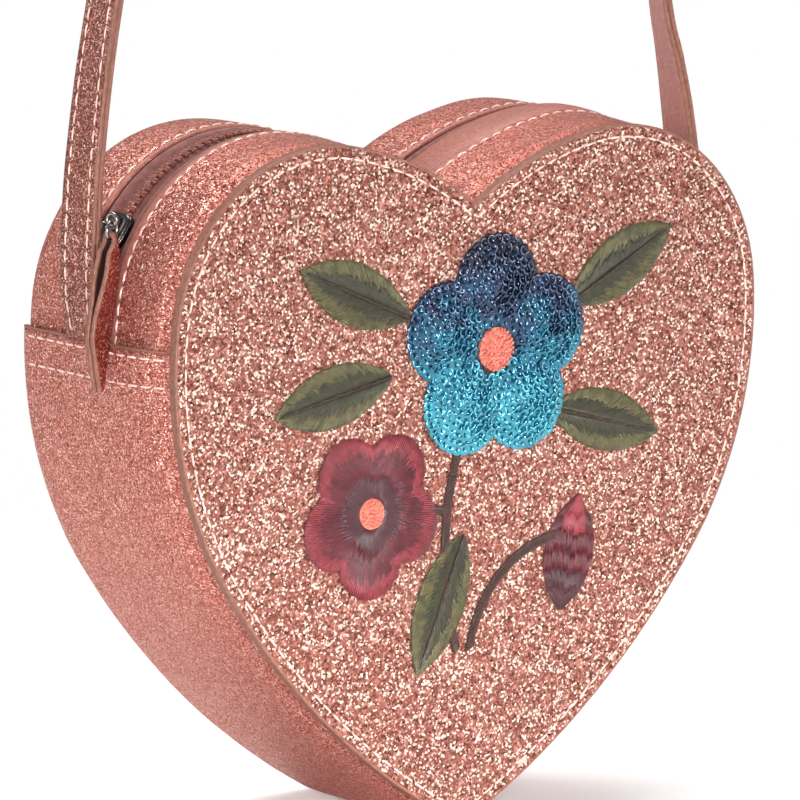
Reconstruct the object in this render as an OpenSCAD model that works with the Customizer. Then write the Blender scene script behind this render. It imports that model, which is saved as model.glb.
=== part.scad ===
// Heart-shaped shoulder bag with a zip over both lobes and a flat strap.
// Millimetres. X is width, Y is depth (front panel at -Y), Z is up.
// The origin is the top of the hanging strap.

/* [Heart outline] */
// Height of the strap top above the outline's own zero line
hang_h = 520; // [400:1:700]
// Lobe arc centre, sideways
lobe_x = 45.15; // [20:0.05:80]
// Lobe arc centre, height
lobe_z = 18.66; // [0:0.01:60]
// Lobe arc radius
lobe_r = 44.28; // [20:0.01:90]
// Arc radius between the lobe and the cleft
crown_r = 93.4; // [60:0.1:160]
// Angle where the crown arc meets the lobe arc
crown_a = 100.75; // [95:0.05:110]
// Arc radius of the flank below the lobe
flank_r = 97.7; // [60:0.1:160]
// Angle where the lobe arc meets the flank arc
flank_a = 5.69; // [0:0.01:20]
// Arc radius of the lower side
side_r = 196.6; // [120:0.1:300]
// Angle where the flank arc meets the side arc
side_a = -34.96; // [-50:0.01:-20]
// Radius of the rounded lower tip
tip_r = 8.61; // [8:0.01:12]
// Angle on the flank arc of the side seam
seam_a = 1.5; // [0:0.1:4]
// Angle on the flank arc where the hidden tongues end
tongue_a = -4.4; // [-8:0.1:-2]

/* [Shell] */
// Depth between the front and back leather faces
depth = 61; // [40:0.5:90]
// Thickness of the front and back leather
panel_t = 1.3; // [0.8:0.1:2]
// Thickness of the gusset leather
gusset_t = 1.2; // [0.8:0.1:2]
// Thickness of the edge paint
paint_t = 0.35; // [0.2:0.05:0.6]
// Thickness of the stiffener boards
board_t = 1.0; // [0.6:0.1:2]
// Thickness of the lining cloth
lining_t = 0.5; // [0.3:0.1:1]
// Width of the flange sewn to the front panel
flange_w = 4.0; // [3:0.1:5]
// Width of the turned flange sewn to the back panel
turned_w = 7.0; // [5:0.1:7.2]
// How far the back panel lies inside the outline
back_in = 2.6; // [1:0.1:4]
// How far the gusset stands outside the outline
belly = 2.2; // [1:0.1:4]
// Clearance between leather and lining
ease = 0.05; // [0.02:0.01:0.1]

/* [Zip] */
// Depth of the zip line behind the middle of the bag
zip_y = 1.75; // [-5:0.05:8]
// Half width of the slot between the leather strips
slot_half = 7.25; // [5:0.05:9]
// Level of the strips beside the slot, outside the outline
strip_w = 0.65; // [0.2:0.05:1.2]
// Thickness of the zip tape
tape_t = 0.5; // [0.3:0.05:0.8]
// How far the tape reaches below the strips
tape_lap = 2.8; // [1:0.1:4]
// Half of the gap between the two tapes
tape_gap = 0.35; // [0.2:0.05:0.6]
// Distance from one tooth to the next in a row
pitch = 2.2; // [1.6:0.05:3]
// Width of a tooth along the zip
tooth_w = 0.95; // [0.6:0.05:1.3]
// Height of a tooth above the tape
tooth_h = 1.3; // [0.8:0.05:2]
// Reach of a tooth from the zip line over its own tape
tooth_l = 2.7; // [2:0.05:4]
// Reach of a tooth over the zip line into the other row
tooth_mesh = 0.55; // [0.3:0.05:0.9]
// Angle above the lobe centre where the teeth start
teeth_a = 25; // [15:0.5:40]
// Angle above the lobe centre of the end stops
stop_a = 21.3; // [12:0.1:24]
// Length of the end stops along the zip
stop_l = 1.6; // [1:0.1:3]
// Length of the leather tabs that close the slot ends
tab_a = 9; // [4:0.5:12]

/* [Slider and pull] */
// Angle of the slider about the left lobe centre
slide_a = 149.5; // [145:0.1:155]
// Half length of the slider
slider_half = 4.6; // [3:0.1:6]
// Half width of the slider at its open end
slider_wide = 4.5; // [3.6:0.1:6]
// Half width of the slider at its closed end
slider_narrow = 3.7; // [3.3:0.1:5]
// Wall of the slider
slider_t = 0.65; // [0.4:0.05:1]
// Running clearance of the slider over the teeth
slider_gap = 0.2; // [0.1:0.05:0.4]
// Radius of the bridge bar
bar_r = 0.5; // [0.3:0.05:0.8]
// Height of the bridge bar above the slider plate
bar_h = 2.2; // [1.8:0.1:3]
// Half length of the bridge bar
bar_half = 3.1; // [2:0.1:4]
// Lean of the pull eye from upright, towards the front
eye_lean = 59; // [50:1:80]
// Distance from the bridge bar to the middle of the eye's hook
eye_l = 9.7; // [8:0.1:12]
// Thickness of the pull eye
eye_t = 0.8; // [0.5:0.1:1.2]
// Outer radius of the pull eye at the bar
eye_r = 1.5; // [1.2:0.1:2]
// Radial clearance of the pull eye on the bar
eye_gap = 0.06; // [0.02:0.01:0.1]
// Centre-line radius of the eye's hook
hook_r = 1.3; // [1.2:0.05:1.6]
// Wire radius of the eye's hook
hook_wire_r = 0.45; // [0.3:0.05:0.5]
// Centre-line radius of the jump ring
ring_r = 2.2; // [2:0.1:4]
// Wire radius of the jump ring
wire_r = 0.4; // [0.3:0.05:0.6]
// Length of the pull tab on its long edge
pull_l = 36; // [28:0.5:45]
// Length of the pull tab on its short edge
pull_short = 24; // [18:0.5:30]
// Width of the pull tab
pull_w = 8; // [6:0.1:10]
// Thickness of one leaf of the pull tab
leaf_t = 1.3; // [0.8:0.1:1.6]
// Width of the pull tab's neck where it folds over the jump ring
neck_w = 1.8; // [1.4:0.1:2]
// Inner radius of the fold over the jump ring
fold_r = 0.7; // [0.7:0.05:1]
// Lean of the pull tab away from the bag
pull_lean = 12; // [0:0.5:20]
// Turn of the pull tab about its length
pull_turn = 21; // [0:1:40]

/* [Strap] */
// Width of the strap
strap_w = 11.5; // [8:0.1:20]
// Thickness of the strap's glitter face
face_t = 1.3; // [0.8:0.1:2]
// Thickness of the strap's backing
backing_t = 1.1; // [0.6:0.1:2]
// Gap between face and backing for the glue line
glue_t = 0.06; // [0.02:0.01:0.1]
// Radius of the strap where it hangs
hang_r = 12; // [8:0.5:30]
// Left leg points, outwards and upwards from the side seam
left_out = [[1.94, 0.48], [2.84, 4.58], [3.94, 11.08], [4.34, 20.08], [4.04, 31.08], [3.34, 42.88], [1.24, 61.58], [-1.76, 80.28], [-8.86, 118.08]];
// Right leg points, outwards and upwards from the side seam
right_out = [[1.94, 0.48], [2.84, 4.58], [3.64, 11.08], [3.74, 21.08], [2.94, 33.08], [0.54, 47.08], [-2.36, 59.78], [-5.66, 72.38], [-13.16, 112.08]];
// Twist of the left leg at its points
left_twist_a = [0, 0, 0, 0, 0, -1, -2, -2, -1];
// Twist of the right leg at its points
right_twist_a = [0, 0, 0, 1, 4, 8, 15, 21.5, 15];

/* [Embroidery] */
// Thickness of the satin stitching
satin_t = 0.8; // [0.4:0.1:1.2]
// Thickness of the leaf stitching
leaf_sew_t = 0.5; // [0.3:0.1:1]
// Thickness of the sequin layer
sequin_t = 0.7; // [0.4:0.1:1.2]
// Thickness of the knots in the blossom middles
knot_t = 1.0; // [0.5:0.1:1.5]
// Large blossom middle, sideways and height
large_c = [6, 11];
// Large blossom petal radius
large_petal = 12.6; // [8:0.1:16]
// Distance of the large petals from their middle
large_reach = 15.4; // [10:0.1:20]
// Small blossom middle, sideways and height
small_c = [-31, -26];
// Small blossom petal radius
small_petal = 9.4; // [6:0.1:12]
// Distance of the small petals from their middle
small_reach = 11.4; // [8:0.1:15]
// Bud middle, sideways and height
bud_c = [31, -41];
// Bud lens radius
bud_r = 17; // [12:0.1:24]
// Bud lens half width
bud_half = 8; // [5:0.1:12]
// Leaf lens radius
leaf_r = 26; // [18:0.1:40]
// Leaf lens half width
leaf_half = 7.4; // [4:0.1:12]
// Leaf middles, sideways and height
leaf_c = [[-37, 27], [45, 29], [41, -9], [-9, -50], [-43, 3]];
// Leaf directions
leaf_a = [158, 28, -14, -112, 192];
// Stem width
stem_w = 2.4; // [1:0.1:4]
// Main stem arc: middle sideways, middle height, radius
stem_arc = [70, -36, 78];
// Stem arc to the small blossom
twig_arc = [-12, -65, 38];
// Stem arc to the bud
bud_arc = [30, -66, 30];

/* [Hidden] */
$fn = 48;

// Outline arcs
function polar(c, r, a) = [c[0] + r * cos(a), c[1] + r * sin(a)];
lobe_c = [lobe_x, lobe_z];
crown_c = polar(lobe_c, lobe_r - crown_r, crown_a);
flank_c = polar(lobe_c, lobe_r - flank_r, flank_a);
side_c = polar(flank_c, flank_r - side_r, side_a);
tip_c = [0, side_c[1] - sqrt(pow(side_r - tip_r, 2) - pow(side_c[0], 2))];
tip_a = atan2(tip_c[1] - side_c[1], tip_c[0] - side_c[0]);
function cleft_a(w) = acos(-crown_c[0] / (crown_r + w));

// Station counts along the half outline
n_crown = 6;
n_lobe = 20;
n_flank = 2;
n_tongue = 2;
n_low = 5;
n_side = 6;
n_tip = 7;
i_seam = n_crown + n_lobe + n_flank;
i_tongue = i_seam + n_tongue;
i_low = i_tongue + n_low;
i_side = i_low + n_side;
i_tip = i_side + n_tip;
function mix(a, b, f) = a + (b - a) * f;

// Point i of the right half outline, moved outwards by w
function half_pt(i, w) =
  i < n_crown ? polar(crown_c, crown_r + w, mix(cleft_a(w), crown_a, i / n_crown)) :
  i < n_crown + n_lobe ? polar(lobe_c, lobe_r + w, mix(crown_a, flank_a, (i - n_crown) / n_lobe)) :
  i < i_seam ? polar(flank_c, flank_r + w, mix(flank_a, seam_a, (i - n_crown - n_lobe) / n_flank)) :
  i < i_tongue ? polar(flank_c, flank_r + w, mix(seam_a, tongue_a, (i - i_seam) / n_tongue)) :
  i < i_low ? polar(flank_c, flank_r + w, mix(tongue_a, side_a, (i - i_tongue) / n_low)) :
  i < i_side ? polar(side_c, side_r + w, mix(side_a, tip_a, (i - i_low) / n_side)) :
  polar(tip_c, tip_r + w, mix(tip_a, -90, (i - i_side) / n_tip));
function outline(w) = concat(
  [for (i = [0 : i_tip]) let (p = half_pt(i, w)) (i == 0 || i == i_tip) ? [0, p[1]] : p],
  [for (i = [i_tip - 1 : -1 : 1]) let (p = half_pt(i, w)) [-p[0], p[1]]]);
function flat(a) = [for (b = a) for (c = b) c];

// Station lists, each station being [side, index]
low_run = concat([for (i = [i_seam : i_tip]) [-1, i]], [for (i = [i_tip - 1 : -1 : i_seam]) [1, i]]);
lining_run = concat([for (i = [i_tongue : i_tip]) [-1, i]], [for (i = [i_tip - 1 : -1 : i_tongue]) [1, i]]);
top_run = concat([for (i = [i_seam : -1 : 0]) [1, i]], [for (i = [1 : i_seam]) [-1, i]]);
function run_pt(s, q) = let (p = half_pt(s[1], q[1]))
  [(s[1] == 0 || s[1] == i_tip) ? 0 : s[0] * p[0], q[0], p[1]];

// End of a solid: the ring's first span points face as many on the way back, and the rest fan out from point 0
function end_faces(n, span) = concat(
  [for (k = [0 : span - 2]) [k, k + 1, 2 * span - 2 - k, 2 * span - 1 - k]],
  [for (k = [2 * span - 1 : n - 2]) [0, k, k + 1]]);
// Solid swept through rings of points that all have the same count; cross picks the other diagonals
module loft(rings, cross = false, span = 0) {
  n = len(rings[0]);
  m = len(rings);
  ends = end_faces(n, span > 0 ? span : n / 2);
  polyhedron(
    points = flat(rings),
    faces = concat(
      ends,
      [for (j = [0 : m - 2]) for (k = [0 : n - 1])
        [j * n + k, (j + 1) * n + k, (cross ? j : j + 1) * n + (k + 1) % n]],
      [for (j = [0 : m - 2]) for (k = [0 : n - 1])
        [(cross ? j + 1 : j) * n + k, (j + 1) * n + (k + 1) % n, j * n + (k + 1) % n]],
      [for (f = ends) [for (k = back_to_front(f)) (m - 1) * n + k]]));
}
module band(run, loop, span = 0) loft([for (s = run) [for (q = loop) run_pt(s, q)]], span = span);

// Path of [depth, outward] points moved inwards by t
function unit(v) = v / norm(v);
function inset(p, t) = [for (i = [0 : len(p) - 1])
  let (a = p[max(i - 1, 0)], b = p[min(i + 1, len(p) - 1)], d = unit(b - a))
  [p[i][0] + t * d[1], p[i][1] - t * d[0]]];
function back_to_front(p) = [for (i = [len(p) - 1 : -1 : 0]) p[i]];
function wall(p, t0, t1) = concat(inset(p, t0), back_to_front(inset(p, t1)));

// Gusset section: depth shares of half the depth and outward shares of the belly
half = depth / 2;
y_flange = -half + panel_t;
y_wall = y_flange + gusset_t;
y_turn = half - panel_t;
mid_d = half - panel_t;
low_path = [
  [y_wall, -belly * 1.18], [mid_d * -0.921, -belly], [mid_d * -0.873, -belly * 0.55],
  [mid_d * -0.719, belly * 0.27], [mid_d * -0.411, belly * 0.82], [0, belly],
  [mid_d * 0.48, belly], [mid_d * 0.863, belly * 0.91], [mid_d * 0.938, belly * 0.55],
  [mid_d * 0.983, -belly * 0.14], [y_turn, -belly * 0.91], [y_turn, -turned_w]];
low_wall = [for (i = [2 : 7]) low_path[i]];
low_cloth = [for (i = [2 : 8]) low_path[i]];
zf_path = [
  [y_wall, -flange_w * 0.975], [mid_d * -0.9, -belly * 1.52], [mid_d * -0.855, -belly * 1.1],
  [mid_d * -0.709, -belly * 0.32], [mid_d * -0.408, belly * 0.22],
  [zip_y - slot_half * 1.41, strip_w], [zip_y - slot_half, strip_w]];
zr_path = [
  [zip_y + slot_half, strip_w], [zip_y + slot_half * 1.41, strip_w], [mid_d * 0.48, belly * 0.37],
  [mid_d * 0.86, belly * 0.31], [mid_d * 0.925, -belly * 0.04], [mid_d * 0.976, -belly * 0.7],
  [y_turn, -belly * 1.5], [y_turn, -turned_w]];

module place() translate([0, 0, -hang_h]) children();
module plate(w, y0, t) place() translate([0, y0 + t, 0]) rotate([90, 0, 0]) linear_extrude(t) polygon(outline(w));

module front_panel() color("salmon") plate(-paint_t, -half, panel_t);
module front_edge_paint() color("sienna") place() translate([0, y_wall, 0]) rotate([90, 0, 0])
  linear_extrude(panel_t + gusset_t) difference() {
    polygon(outline(0));
    polygon(outline(-paint_t));
  }
module front_stiffener() color("gray") plate(-flange_w * 1.4, y_flange, board_t);
module front_lining() color("rosybrown") plate(-flange_w * 1.4, y_flange + board_t, lining_t);
module back_panel() color("salmon") plate(-back_in, y_turn, panel_t);
module back_stiffener() color("gray") plate(-turned_w - ease * 4, y_turn - board_t, board_t);
module back_lining() color("rosybrown") plate(-turned_w - ease * 4, y_turn - board_t - lining_t, lining_t);

module lower_gusset() color("indianred") place() band(low_run, concat(
  low_path, back_to_front(inset(low_path, gusset_t)),
  [[y_flange, -flange_w], [y_flange, -paint_t], [y_wall, -paint_t]]), len(low_path));
module seam_edge(s) {
  da = paint_t / flank_r * 180 / PI;
  loop = wall(low_wall, 0, gusset_t - ease);
  loft([for (a = s > 0 ? [seam_a, seam_a + da] : [seam_a + da, seam_a]) [for (q = loop)
    let (p = polar(flank_c, flank_r + q[1], a)) [s * p[0], q[0], p[1]]]]);
}
module side_seam_edges() color("sienna") place() for (s = [-1, 1]) seam_edge(s);
module lower_gusset_lining() color("rosybrown") place()
  band(lining_run, wall(low_cloth, gusset_t + ease * 2, gusset_t + ease * 2 + lining_t));

module zip_gusset_front() color("indianred") place()
  band(top_run, concat(zf_path, back_to_front(inset(zf_path, gusset_t)),
    [[y_flange, -flange_w * 1.3], [y_flange, -paint_t], [y_wall, -paint_t]]), len(zf_path));
module zip_gusset_rear() color("indianred") place()
  band(top_run, concat(zr_path, back_to_front(inset(zr_path, gusset_t))));
module side_seam_backing() color("indianred") place() for (s = [-1, 1])
  band([for (i = s < 0 ? [i_seam : i_tongue] : [i_tongue : -1 : i_seam]) [s, i]],
    wall(low_wall, gusset_t + ease * 2, gusset_t * 2));
module zip_facing_front() color("rosybrown") place() band(top_run,
  wall([for (i = [2 : 4]) zf_path[i]], gusset_t + ease, gusset_t + ease + lining_t));
module zip_facing_rear() color("rosybrown") place() band(top_run,
  wall([for (i = [2 : 3]) zr_path[i]], gusset_t + ease, gusset_t + ease + lining_t));

// Zip tapes, teeth and stops
tape_w = strip_w - gusset_t - ease;
module tape(y0, y1) band(top_run, [[y0, tape_w], [y1, tape_w], [y1, tape_w - tape_t], [y0, tape_w - tape_t]]);
module zip_tape_front() color("maroon") place() tape(zip_y - slot_half - tape_lap, zip_y - tape_gap);
module zip_tape_rear() color("maroon") place() tape(zip_y + tape_gap, zip_y + slot_half + tape_lap);

// One tooth lying along Y, its head at +Y, its foot at X = 0
module tooth() rotate([90, 0, 90]) linear_extrude(tooth_h) {
  translate([-tooth_l, -tooth_w / 2]) square([tooth_l + tooth_mesh - tooth_w / 2, tooth_w]);
  translate([tooth_mesh - tooth_w / 2, 0]) circle(d = tooth_w, $fn = 12);
}
module on_arc(c, r, a) translate([c[0], zip_y, c[1]]) rotate([0, -a, 0]) translate([r, 0, 0]) children();
seat_w = tape_w + ease / 2;
lobe_step = pitch / (lobe_r + seat_w + tooth_h / 2) * 180 / PI;
crown_step = pitch / (crown_r + seat_w + tooth_h / 2) * 180 / PI;
n_teeth_lobe = floor((crown_a - teeth_a) / lobe_step);
crown_start = crown_a + (teeth_a + (n_teeth_lobe + 1) * lobe_step - crown_a) * lobe_r / crown_r;
n_teeth_crown = floor((cleft_a(seat_w) - crown_start) / crown_step - 1.2);
module teeth(phase, turn) for (s = [0, 1]) mirror([s, 0, 0]) {
  for (i = [0 : n_teeth_lobe])
    on_arc(lobe_c, lobe_r + seat_w, teeth_a + (i + phase) * lobe_step) rotate([turn, 0, 0]) tooth();
  for (i = [0 : n_teeth_crown])
    on_arc(crown_c, crown_r + seat_w, crown_start + (i + phase) * crown_step) rotate([turn, 0, 0]) tooth();
}
module zip_teeth_front() color("darkred") place() teeth(0, 0);
module zip_teeth_rear() color("darkred") place() teeth(0.5, 180);
module zip_end_stops() color("silver") place() for (s = [0, 1]) mirror([s, 0, 0])
  on_arc(lobe_c, lobe_r + seat_w, stop_a)
    translate([0, -tooth_l * 0.8, -stop_l / 2]) cube([tooth_h, tooth_l * 1.6, stop_l]);
module zip_end_tabs() color("indianred") place() for (s = [-1, 1])
  loft([for (a = [seam_a + tab_a * 0.45, seam_a + tab_a * 0.225, seam_a])
    [for (q = [[zip_y - slot_half + ease, strip_w], [zip_y + slot_half - ease, strip_w],
      [zip_y + slot_half - ease, tape_w + ease], [zip_y - slot_half + ease, tape_w + ease]])
      let (p = polar(flank_c, flank_r + q[1], a)) [s * p[0], s * (q[0] - zip_y) + zip_y, p[1]]]]);

// Slider, local X outwards, local Z along the zip
roof = seat_w + tooth_h + slider_gap;
plate_t = slider_t * 1.3;
bar_w = roof + plate_t + bar_h;
module at_slider(w) translate([-lobe_x, zip_y, lobe_z]) rotate([0, -slide_a, 0]) translate([lobe_r + w, 0, 0]) children();
module shield(inn) polygon([
  [-slider_narrow + inn, -slider_half], [slider_narrow - inn, -slider_half],
  [slider_wide - inn, slider_half * 0.1], [slider_wide - inn, slider_half * 0.75],
  [slider_wide * 0.7 - inn, slider_half], [-slider_wide * 0.7 + inn, slider_half],
  [-slider_wide + inn, slider_half * 0.75], [-slider_wide + inn, slider_half * 0.1]]);
module channel() polygon([
  [-slider_narrow + slider_t, -slider_half * 1.1], [slider_narrow - slider_t, -slider_half * 1.1],
  [slider_wide - slider_t, slider_half * 0.1], [slider_wide - slider_t, slider_half * 1.1],
  [-slider_wide + slider_t, slider_half * 1.1], [-slider_wide + slider_t, slider_half * 0.1]]);
module slider_body() color("silver") place() at_slider(0) {
  translate([roof, 0, 0]) rotate([90, 0, 90]) linear_extrude(plate_t) shield(0);
  translate([seat_w + slider_gap, 0, 0]) rotate([90, 0, 90]) linear_extrude(tooth_h)
    difference() {
      shield(0);
      channel();
    }
}
module slider_bridge() color("silver") place() at_slider(bar_w) {
  translate([0, 0, -bar_half]) cylinder(r = bar_r, h = bar_half * 2);
  for (s = [-1, 1]) translate([-bar_h, -bar_r * 1.4, s * bar_half - bar_r])
    cube([bar_h + bar_r, bar_r * 2.8, bar_r * 2]);
}
// Points of the pull, in the outline's own frame
function rot_y(v, b) = [v[0] * cos(b) + v[2] * sin(b), v[1], v[2] * cos(b) - v[0] * sin(b)];
bar_p = [-lobe_x, zip_y, lobe_z] + rot_y([lobe_r + bar_w, 0, 0], -slide_a);
eye_d = rot_y([cos(eye_lean), -sin(eye_lean), 0], -slide_a);
hook_p = bar_p + eye_d * eye_l;
hook_top = hook_p + [0, 0, hook_r];
hook_play = hook_r - hook_wire_r - wire_r - ease;
ring_p = hook_p - [0, 0, hook_play + ring_r];
module at_turn(p) translate(p) rotate([0, 0, pull_turn]) children();
module rod(a, b, r) {
  d = b - a;
  translate(a) rotate([0, acos(d[2] / norm(d)), atan2(d[1], d[0])]) cylinder(r = r, h = norm(d));
}
module pull_eye() color("silver") place() difference() {
  union() {
    at_slider(bar_w) translate([0, 0, -eye_t / 2]) cylinder(r = eye_r, h = eye_t);
    rod(bar_p + eye_d * (eye_r - hook_wire_r), hook_top, hook_wire_r * 0.9);
    at_turn(hook_p) rotate([0, 90, 0]) rotate_extrude() translate([hook_r, 0]) circle(r = hook_wire_r, $fn = 16);
  }
  at_slider(bar_w) translate([0, 0, -eye_t]) cylinder(r = bar_r + eye_gap, h = eye_t * 2);
}
module jump_ring() color("silver") place() at_turn(ring_p) rotate([90, 0, 0])
  rotate_extrude() translate([ring_r, 0]) circle(r = wire_r, $fn = 16);

// The pull tab folds over the wire of the jump ring and leans by sliding round it
module at_pull() at_turn(ring_p) rotate([0, pull_lean, 0]) translate([0, 0, -ring_r]) children();
module leaf_side() polygon([[-pull_w / 2, 0], [pull_w / 2, 0], [pull_w / 2, -pull_l], [pull_w * 0.3, -pull_l],
  [-pull_w / 2, -pull_short]]);
module pull_tab() color("brown") place() at_pull() {
  difference() {
    union() {
      rotate([90, 0, 0]) translate([0, 0, -leaf_t]) linear_extrude(leaf_t * 2) leaf_side();
      rotate([0, 90, 0]) translate([0, 0, -pull_w / 2]) cylinder(r = fold_r + leaf_t, h = pull_w);
    }
    rotate([0, 90, 0]) translate([0, 0, -pull_w]) cylinder(r = fold_r, h = pull_w * 2);
    for (s = [-1, 1]) translate([s * pull_w / 2, 0, 0])
      rotate([90, 0, 0]) cylinder(r = (pull_w - neck_w) / 2, h = pull_w, center = true);
  }
}

// Strap: spline through the leg points, then a half turn at the top
function knot(p, i) = p[max(0, min(len(p) - 1, i))];
function spline(p, i, f) = let (a = knot(p, i - 1), b = knot(p, i), c = knot(p, i + 1), d = knot(p, i + 2))
  0.5 * (2 * b + (c - a) * f + (2 * a - 5 * b + 4 * c - d) * f * f + (3 * b - a - 3 * c + d) * f * f * f);
strap_half = (face_t + backing_t + glue_t) / 2;
hang_c = [0, hang_h - hang_r - strap_half];
seam_p = polar(flank_c, flank_r, seam_a);
left_leg = [for (q = left_out) [-seam_p[0] - q[0], seam_p[1] + q[1]]];
right_leg = [for (q = right_out) [seam_p[0] + q[0], seam_p[1] + q[1]]];
left_foot = left_leg[len(left_leg) - 1];
right_foot = right_leg[len(right_leg) - 1];
function lean(foot) = let (v = hang_c - [abs(foot[0]) * sign(foot[0]), foot[1]], l = norm(v))
  atan2(abs(v[0]), v[1]) - asin(hang_r / l);
left_top = polar(hang_c, hang_r, 180 - lean(left_foot));
right_top = polar(hang_c, hang_r, lean(right_foot));
n_sub = 3;
n_leg = 10;
n_hang = 16;
function leg_path(leg) = [for (i = [0 : len(leg) - 2]) for (k = [0 : n_sub - 1]) spline(leg, i, k / n_sub)];
function leg_twist(t) = [for (i = [0 : len(t) - 2]) for (k = [0 : n_sub - 1]) mix(t[i], t[i + 1], k / n_sub)];
function reach(foot, top) = [for (k = [0 : n_leg - 1]) mix(foot, top, k / n_leg)];
function fade(t) = [for (k = [0 : n_leg - 1]) t * max(0, 1 - 3.5 * k / n_leg)];
strap_path = concat(leg_path(left_leg), reach(left_foot, left_top),
  [for (k = [0 : n_hang]) polar(hang_c, hang_r, mix(180 - lean(left_foot), lean(right_foot), k / n_hang))],
  back_to_front(reach(right_foot, right_top)), back_to_front(leg_path(right_leg)));
strap_twist = concat(leg_twist(left_twist_a), fade(left_twist_a[len(left_leg) - 1]), [for (k = [0 : n_hang]) 0],
  back_to_front(fade(right_twist_a[len(right_leg) - 1])), back_to_front(leg_twist(right_twist_a)));
module strap_layer(n0, n1, cross) loft(cross = cross, rings = [for (i = [0 : len(strap_path) - 1])
  let (p = strap_path[i], a = strap_path[max(i - 1, 0)], b = strap_path[min(i + 1, len(strap_path) - 1)],
    d = unit(b - a), n = [-d[1], 0, d[0]], w = [0, 1, 0],
    t = strap_twist[i], wn = w * cos(t) + n * sin(t), nn = n * cos(t) - w * sin(t),
    c = [p[0], zip_y, p[1]])
  [c + wn * strap_w / 2 + nn * n0, c - wn * strap_w / 2 + nn * n0,
   c - wn * strap_w / 2 + nn * n1, c + wn * strap_w / 2 + nn * n1]]);
module strap_face() color("rosybrown") place() strap_layer(strap_half - face_t, strap_half, false);
module strap_backing() color("plum") place() strap_layer(-strap_half, backing_t - strap_half, true);

// Embroidery on the front panel
module on_front(y0, t) place() translate([0, -half - y0, 0]) rotate([90, 0, 0]) linear_extrude(t) children();
module petals(c, r, l, turn) translate(c) {
  for (k = [0 : 4]) rotate(turn + 72 * k) translate([l, 0]) circle(r = r);
  circle(r = l * 0.6);
}
module lens(r, h) intersection() {
  translate([0, r - h]) circle(r = r);
  translate([0, h - r]) circle(r = r);
}
module large_2d() petals(large_c, large_petal, large_reach, 90);
module small_2d() petals(small_c, small_petal, small_reach, 54);
module bud_2d() translate(bud_c) rotate(80) lens(bud_r, bud_half);
module leaves_2d() for (i = [0 : len(leaf_c) - 1]) translate(leaf_c[i]) rotate(leaf_a[i]) lens(leaf_r, leaf_half);
module blossoms_2d() {
  large_2d();
  small_2d();
  bud_2d();
}
module arc_2d(c, r, w, a0, a1) translate(c) intersection() {
  difference() {
    circle(r = r + w / 2, $fn = 120);
    circle(r = r - w / 2, $fn = 120);
  }
  polygon([[0, 0], [2 * r * cos(a0), 2 * r * sin(a0)],
    [2 * r * cos((a0 + a1) / 2), 2 * r * sin((a0 + a1) / 2)], [2 * r * cos(a1), 2 * r * sin(a1)]]);
}
module stitched_stems() color("saddlebrown") on_front(0, leaf_sew_t) difference() {
  union() {
    arc_2d([stem_arc[0], stem_arc[1]], stem_arc[2], stem_w, 145, 200);
    arc_2d([twig_arc[0], twig_arc[1]], twig_arc[2], stem_w, 82, 122);
    arc_2d([bud_arc[0], bud_arc[1]], bud_arc[2], stem_w, 80, 172);
  }
  blossoms_2d();
  leaves_2d();
}
module stitched_leaves() color("olive") on_front(0, leaf_sew_t) difference() {
  leaves_2d();
  blossoms_2d();
}
module sequin_blossom() color("teal") on_front(0, sequin_t) large_2d();
module satin_blossom() color("maroon") on_front(0, satin_t) small_2d();
module satin_bud() color("maroon") on_front(0, satin_t) bud_2d();
module blossom_knots() color("coral") {
  on_front(sequin_t, knot_t) translate(large_c) circle(r = large_reach * 0.36);
  on_front(satin_t, knot_t) translate(small_c) circle(r = small_reach * 0.36);
}

front_panel();
front_edge_paint();
front_stiffener();
front_lining();
back_panel();
back_stiffener();
back_lining();
lower_gusset();
side_seam_edges();
side_seam_backing();
lower_gusset_lining();
zip_gusset_front();
zip_gusset_rear();
zip_facing_front();
zip_facing_rear();
zip_tape_front();
zip_tape_rear();
zip_teeth_front();
zip_teeth_rear();
zip_end_stops();
zip_end_tabs();
slider_body();
slider_bridge();
pull_eye();
jump_ring();
pull_tab();
strap_face();
strap_backing();
stitched_stems();
stitched_leaves();
sequin_blossom();
satin_blossom();
satin_bud();
blossom_knots();
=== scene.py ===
# %% [markdown]
# Heart-shaped shoulder bag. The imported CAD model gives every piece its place; this script dresses it.
# The bag's lengths are real millimetres, and one factor turns them to Blender's metres. Only the floor, the
# lights and the camera are given in metres.

# %% Load the frame
import math
import random

import bpy
import numpy as np
from mathutils import Matrix, Vector, noise


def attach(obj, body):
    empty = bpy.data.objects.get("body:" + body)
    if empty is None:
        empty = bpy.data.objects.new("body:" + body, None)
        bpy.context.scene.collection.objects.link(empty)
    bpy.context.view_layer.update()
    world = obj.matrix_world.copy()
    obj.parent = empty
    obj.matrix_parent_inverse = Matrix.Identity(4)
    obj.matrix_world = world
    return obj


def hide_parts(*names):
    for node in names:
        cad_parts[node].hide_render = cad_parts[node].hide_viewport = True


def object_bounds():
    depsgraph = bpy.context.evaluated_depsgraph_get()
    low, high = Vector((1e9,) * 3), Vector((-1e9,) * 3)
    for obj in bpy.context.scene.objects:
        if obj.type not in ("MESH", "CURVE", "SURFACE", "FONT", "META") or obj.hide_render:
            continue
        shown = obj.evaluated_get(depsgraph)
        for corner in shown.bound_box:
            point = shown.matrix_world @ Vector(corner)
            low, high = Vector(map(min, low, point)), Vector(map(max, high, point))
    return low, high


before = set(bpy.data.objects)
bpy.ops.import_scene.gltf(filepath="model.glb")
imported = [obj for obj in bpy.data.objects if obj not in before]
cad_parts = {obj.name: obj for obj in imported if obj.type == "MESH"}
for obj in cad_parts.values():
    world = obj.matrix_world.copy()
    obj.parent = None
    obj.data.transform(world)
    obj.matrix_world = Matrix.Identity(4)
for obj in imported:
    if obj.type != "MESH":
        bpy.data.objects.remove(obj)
cad_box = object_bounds()
MM = 0.001
STRAP_TOP = 520.0
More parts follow.
